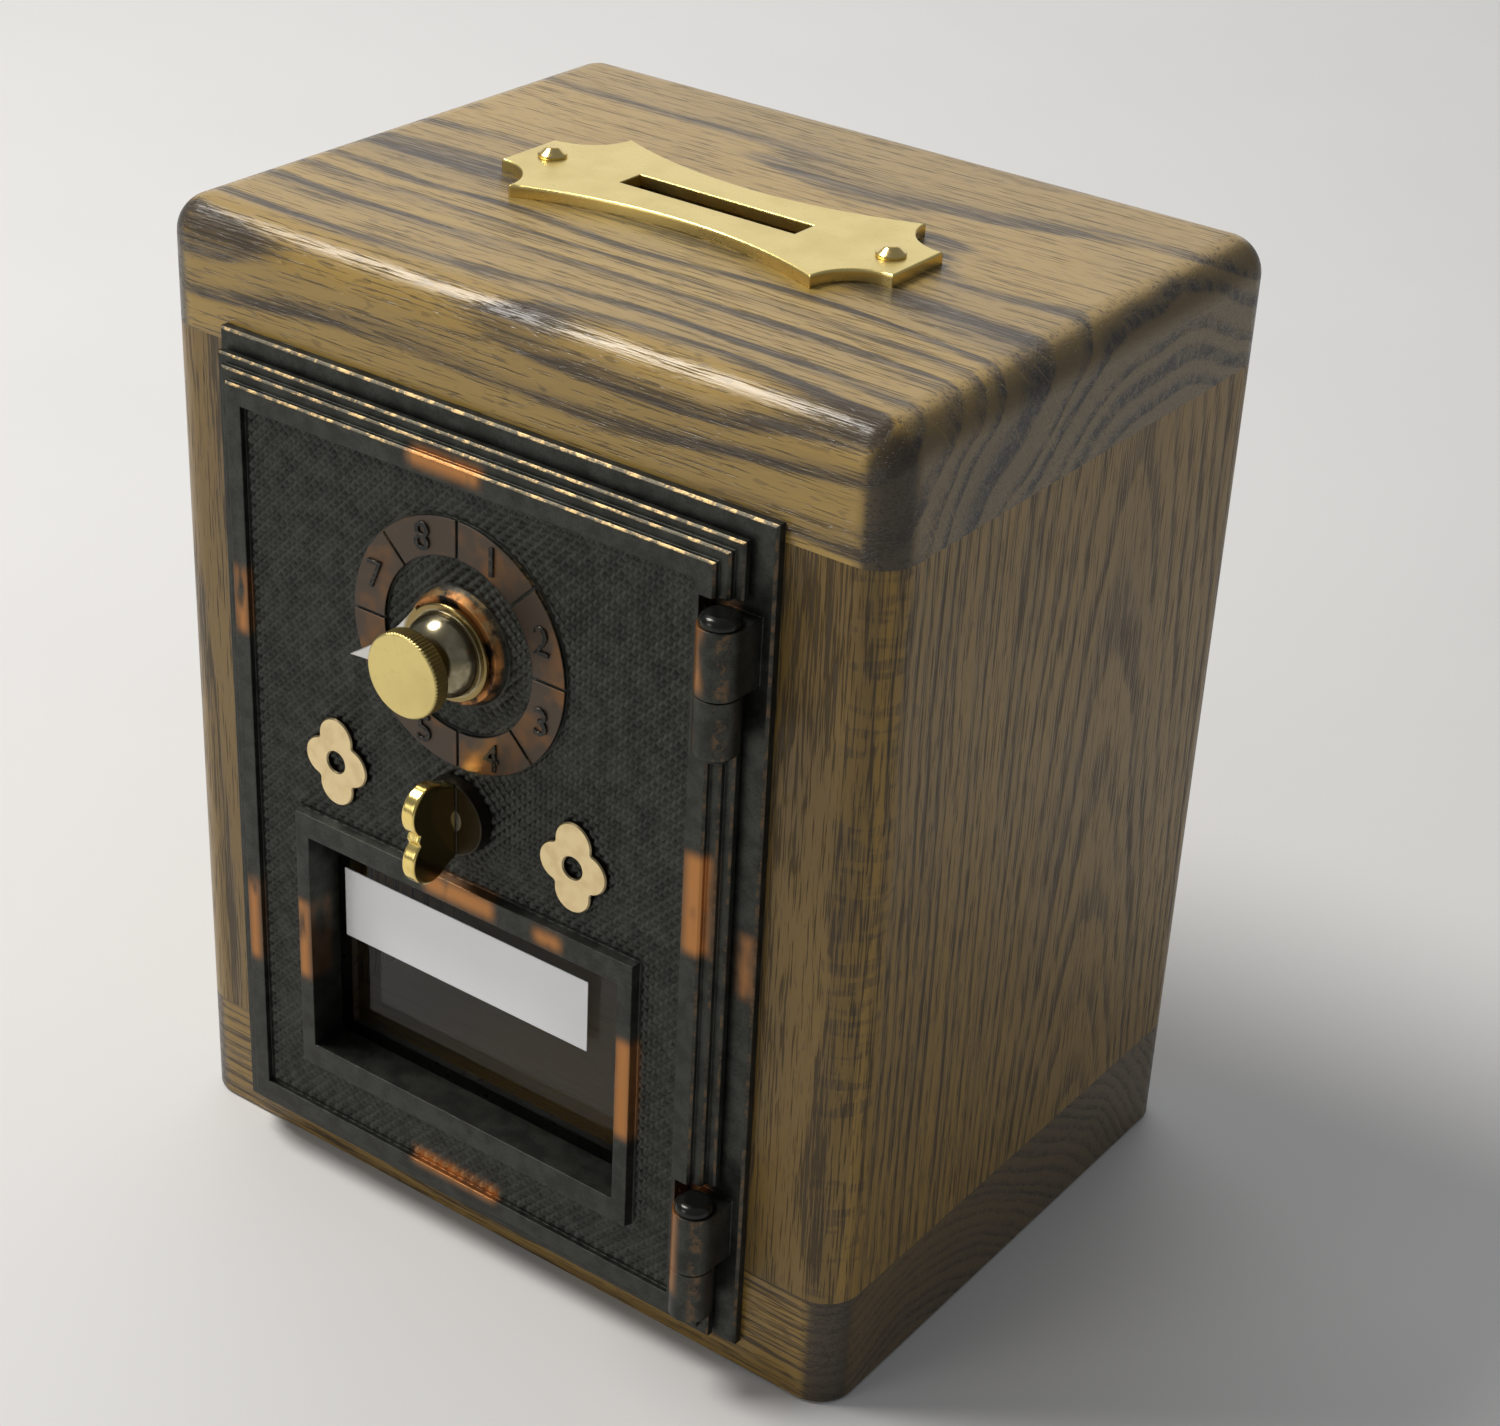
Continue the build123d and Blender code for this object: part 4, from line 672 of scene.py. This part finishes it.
def numeral_mesh(number):
    """One raised numeral around the origin, upright in X and Z, its face towards -Y."""
    curve = bpy.data.curves.new("numeral", "FONT")
    curve.body = str(number)
    curve.align_x = "CENTER"
    curve.extrude = 0.5
    curve.offset = 0.004
    curve.resolution_u = 6
    carrier = bpy.data.objects.new("numeral", curve)
    bpy.context.scene.collection.objects.link(carrier)
    bpy.context.view_layer.update()
    evaluated = carrier.evaluated_get(bpy.context.evaluated_depsgraph_get())
    mesh = bpy.data.meshes.new_from_object(evaluated)
    bpy.data.objects.remove(carrier)
    bpy.data.curves.remove(curve)
    low = Vector([min(v.co[i] for v in mesh.vertices) for i in range(3)])
    high = Vector([max(v.co[i] for v in mesh.vertices) for i in range(3)])
    size, middle = high - low, (high + low) / 2
    wide = NUMERAL_W * min(1.0, size.x / (NARROW_NUMERAL * size.y))
    for v in mesh.vertices:
        local = v.co - middle
        depth = -NUMERAL_RISE if local.z > 0 else NUMERAL_SINK
        v.co = (local.x / size.x * wide, depth, local.y / size.y * NUMERAL_H)
    return mesh


def numerals_mesh():
    """The dial's numerals 1 to 8, upright in their sectors, clockwise from the top."""
    together = bmesh.new()
    middle_r = (RING_OUT_R + RING_IN_R) / 2
    sector = 360 / NUMERAL_COUNT
    for number in range(1, NUMERAL_COUNT + 1):
        angle = math.radians(90 - sector * (number - 0.5))
        across = middle_r * math.cos(angle)
        upward = middle_r * math.sin(angle)
        centre = Vector((DIAL.x + across, RING_Y, DIAL.z + upward))
        one = numeral_mesh(number)
        one.transform(Matrix.Translation(centre))
        one.transform(Matrix.Scale(MM, 4))
        together.from_mesh(one)
        bpy.data.meshes.remove(one)
    bmesh.ops.remove_doubles(together, verts=together.verts, dist=1e-6)
    bmesh.ops.recalc_face_normals(together, faces=together.faces)
    mesh = bpy.data.meshes.new("dial_numerals")
    together.to_mesh(mesh)
    together.free()
    return mesh


def black_enamel():
    """Glossy black left in the raised numerals."""
    look = Look("numeral_black", Metallic=0.5)
    wear = look.ramp(look.noise(1.5, detail=3.0), 0.45, 0.70)
    look.set("Base Color", look.mix(look.times(wear, 0.5), (0.012, 0.012, 0.011), (0.10, 0.075, 0.05)))
    look.set("Roughness", look.add(0.22, look.times(wear, 0.2)))
    look.bump(wear, 0.02)
    return look.material


add_piece("dial_numerals", numerals_mesh(), "door", black_enamel())


# ---------------------------------------------------------------- floor, lights and camera


FLOOR_REACH = 4.0
LIT_MIDDLE = (0.0, 0.0, 0.07)
SURROUND_COLOUR = (0.93, 0.96, 1.0, 1.0)
SURROUND_STRENGTH = 0.23


def pale_floor():
    """A plain pale table top."""
    look = Look("table", Roughness=0.6)
    cloud = look.noise(1 / 90, detail=3.0)
    look.set("Base Color", look.mix(cloud, (0.80, 0.795, 0.79), (0.76, 0.755, 0.75)))
    mesh = bpy.data.meshes.new("table")
    turns = ((-1, -1), (1, -1), (1, 1), (-1, 1))
    corners = [(x * FLOOR_REACH, y * FLOOR_REACH, 0) for x, y in turns]
    mesh.from_pydata(corners, [], [(0, 1, 2, 3)])
    mesh.materials.append(look.material)
    table = bpy.data.objects.new("table", mesh)
    bpy.context.scene.collection.objects.link(table)


def area_light(name, place, size, power, colour):
    """A round soft light, its size in metres and its power in watts, that looks at the object."""
    data = bpy.data.lights.new(name, "AREA")
    data.shape = "DISK"
    data.size = size
    data.energy = power
    data.color = colour
    lamp = bpy.data.objects.new(name, data)
    lamp.location = place
    lamp.rotation_euler = (Vector(LIT_MIDDLE) - Vector(place)).to_track_quat("-Z", "Y").to_euler()
    bpy.context.scene.collection.objects.link(lamp)


def studio():
    """Soft light from the upper left in front, and a pale surround."""
    world = bpy.data.worlds.new("surround")
    world.use_nodes = True
    background = world.node_tree.nodes["Background"]
    background.inputs["Color"].default_value = SURROUND_COLOUR
    background.inputs["Strength"].default_value = SURROUND_STRENGTH
    bpy.context.scene.world = world
    area_light("key", (-0.62, -0.27, 1.07), 0.50, 11.6, (1.0, 0.97, 0.92))
    area_light("far_wall", (-0.60, 0.85, 0.60), 1.5, 3.6, (1.0, 0.99, 0.97))
    area_light("front_fill", (-0.45, -1.05, 0.40), 0.5, 1.5, (1.0, 0.98, 0.95))
    bpy.context.scene.view_settings.view_transform = "Standard"


CAMERA_PLACE = (0.22320, -0.30570, 0.28158)
CAMERA_TURN = 0.6118
CAMERA_RISE = 0.5096
CAMERA_ROLL = 0.0515
CAMERA_LENS = 70.0
CAMERA_SENSOR = 36.0
CAMERA_NEAR = 0.01


def camera():
    """The camera stands in front of the case, to its right and above it, and leans a little."""
    back = Vector((
        math.sin(CAMERA_TURN) * math.cos(CAMERA_RISE),
        -math.cos(CAMERA_TURN) * math.cos(CAMERA_RISE),
        math.sin(CAMERA_RISE),
    ))
    level = Vector((0, 0, 1)).cross(back).normalized()
    upright = back.cross(level)
    right = level * math.cos(CAMERA_ROLL) + upright * math.sin(CAMERA_ROLL)
    up = upright * math.cos(CAMERA_ROLL) - level * math.sin(CAMERA_ROLL)
    data = bpy.data.cameras.new("camera")
    data.lens = CAMERA_LENS
    data.sensor_width = CAMERA_SENSOR
    data.clip_start = CAMERA_NEAR
    eye = bpy.data.objects.new("camera", data)
    turned = Matrix((right, up, back)).transposed().to_4x4()
    eye.matrix_world = Matrix.Translation(CAMERA_PLACE) @ turned
    bpy.context.scene.collection.objects.link(eye)
    bpy.context.scene.camera = eye


pale_floor()
studio()
camera()
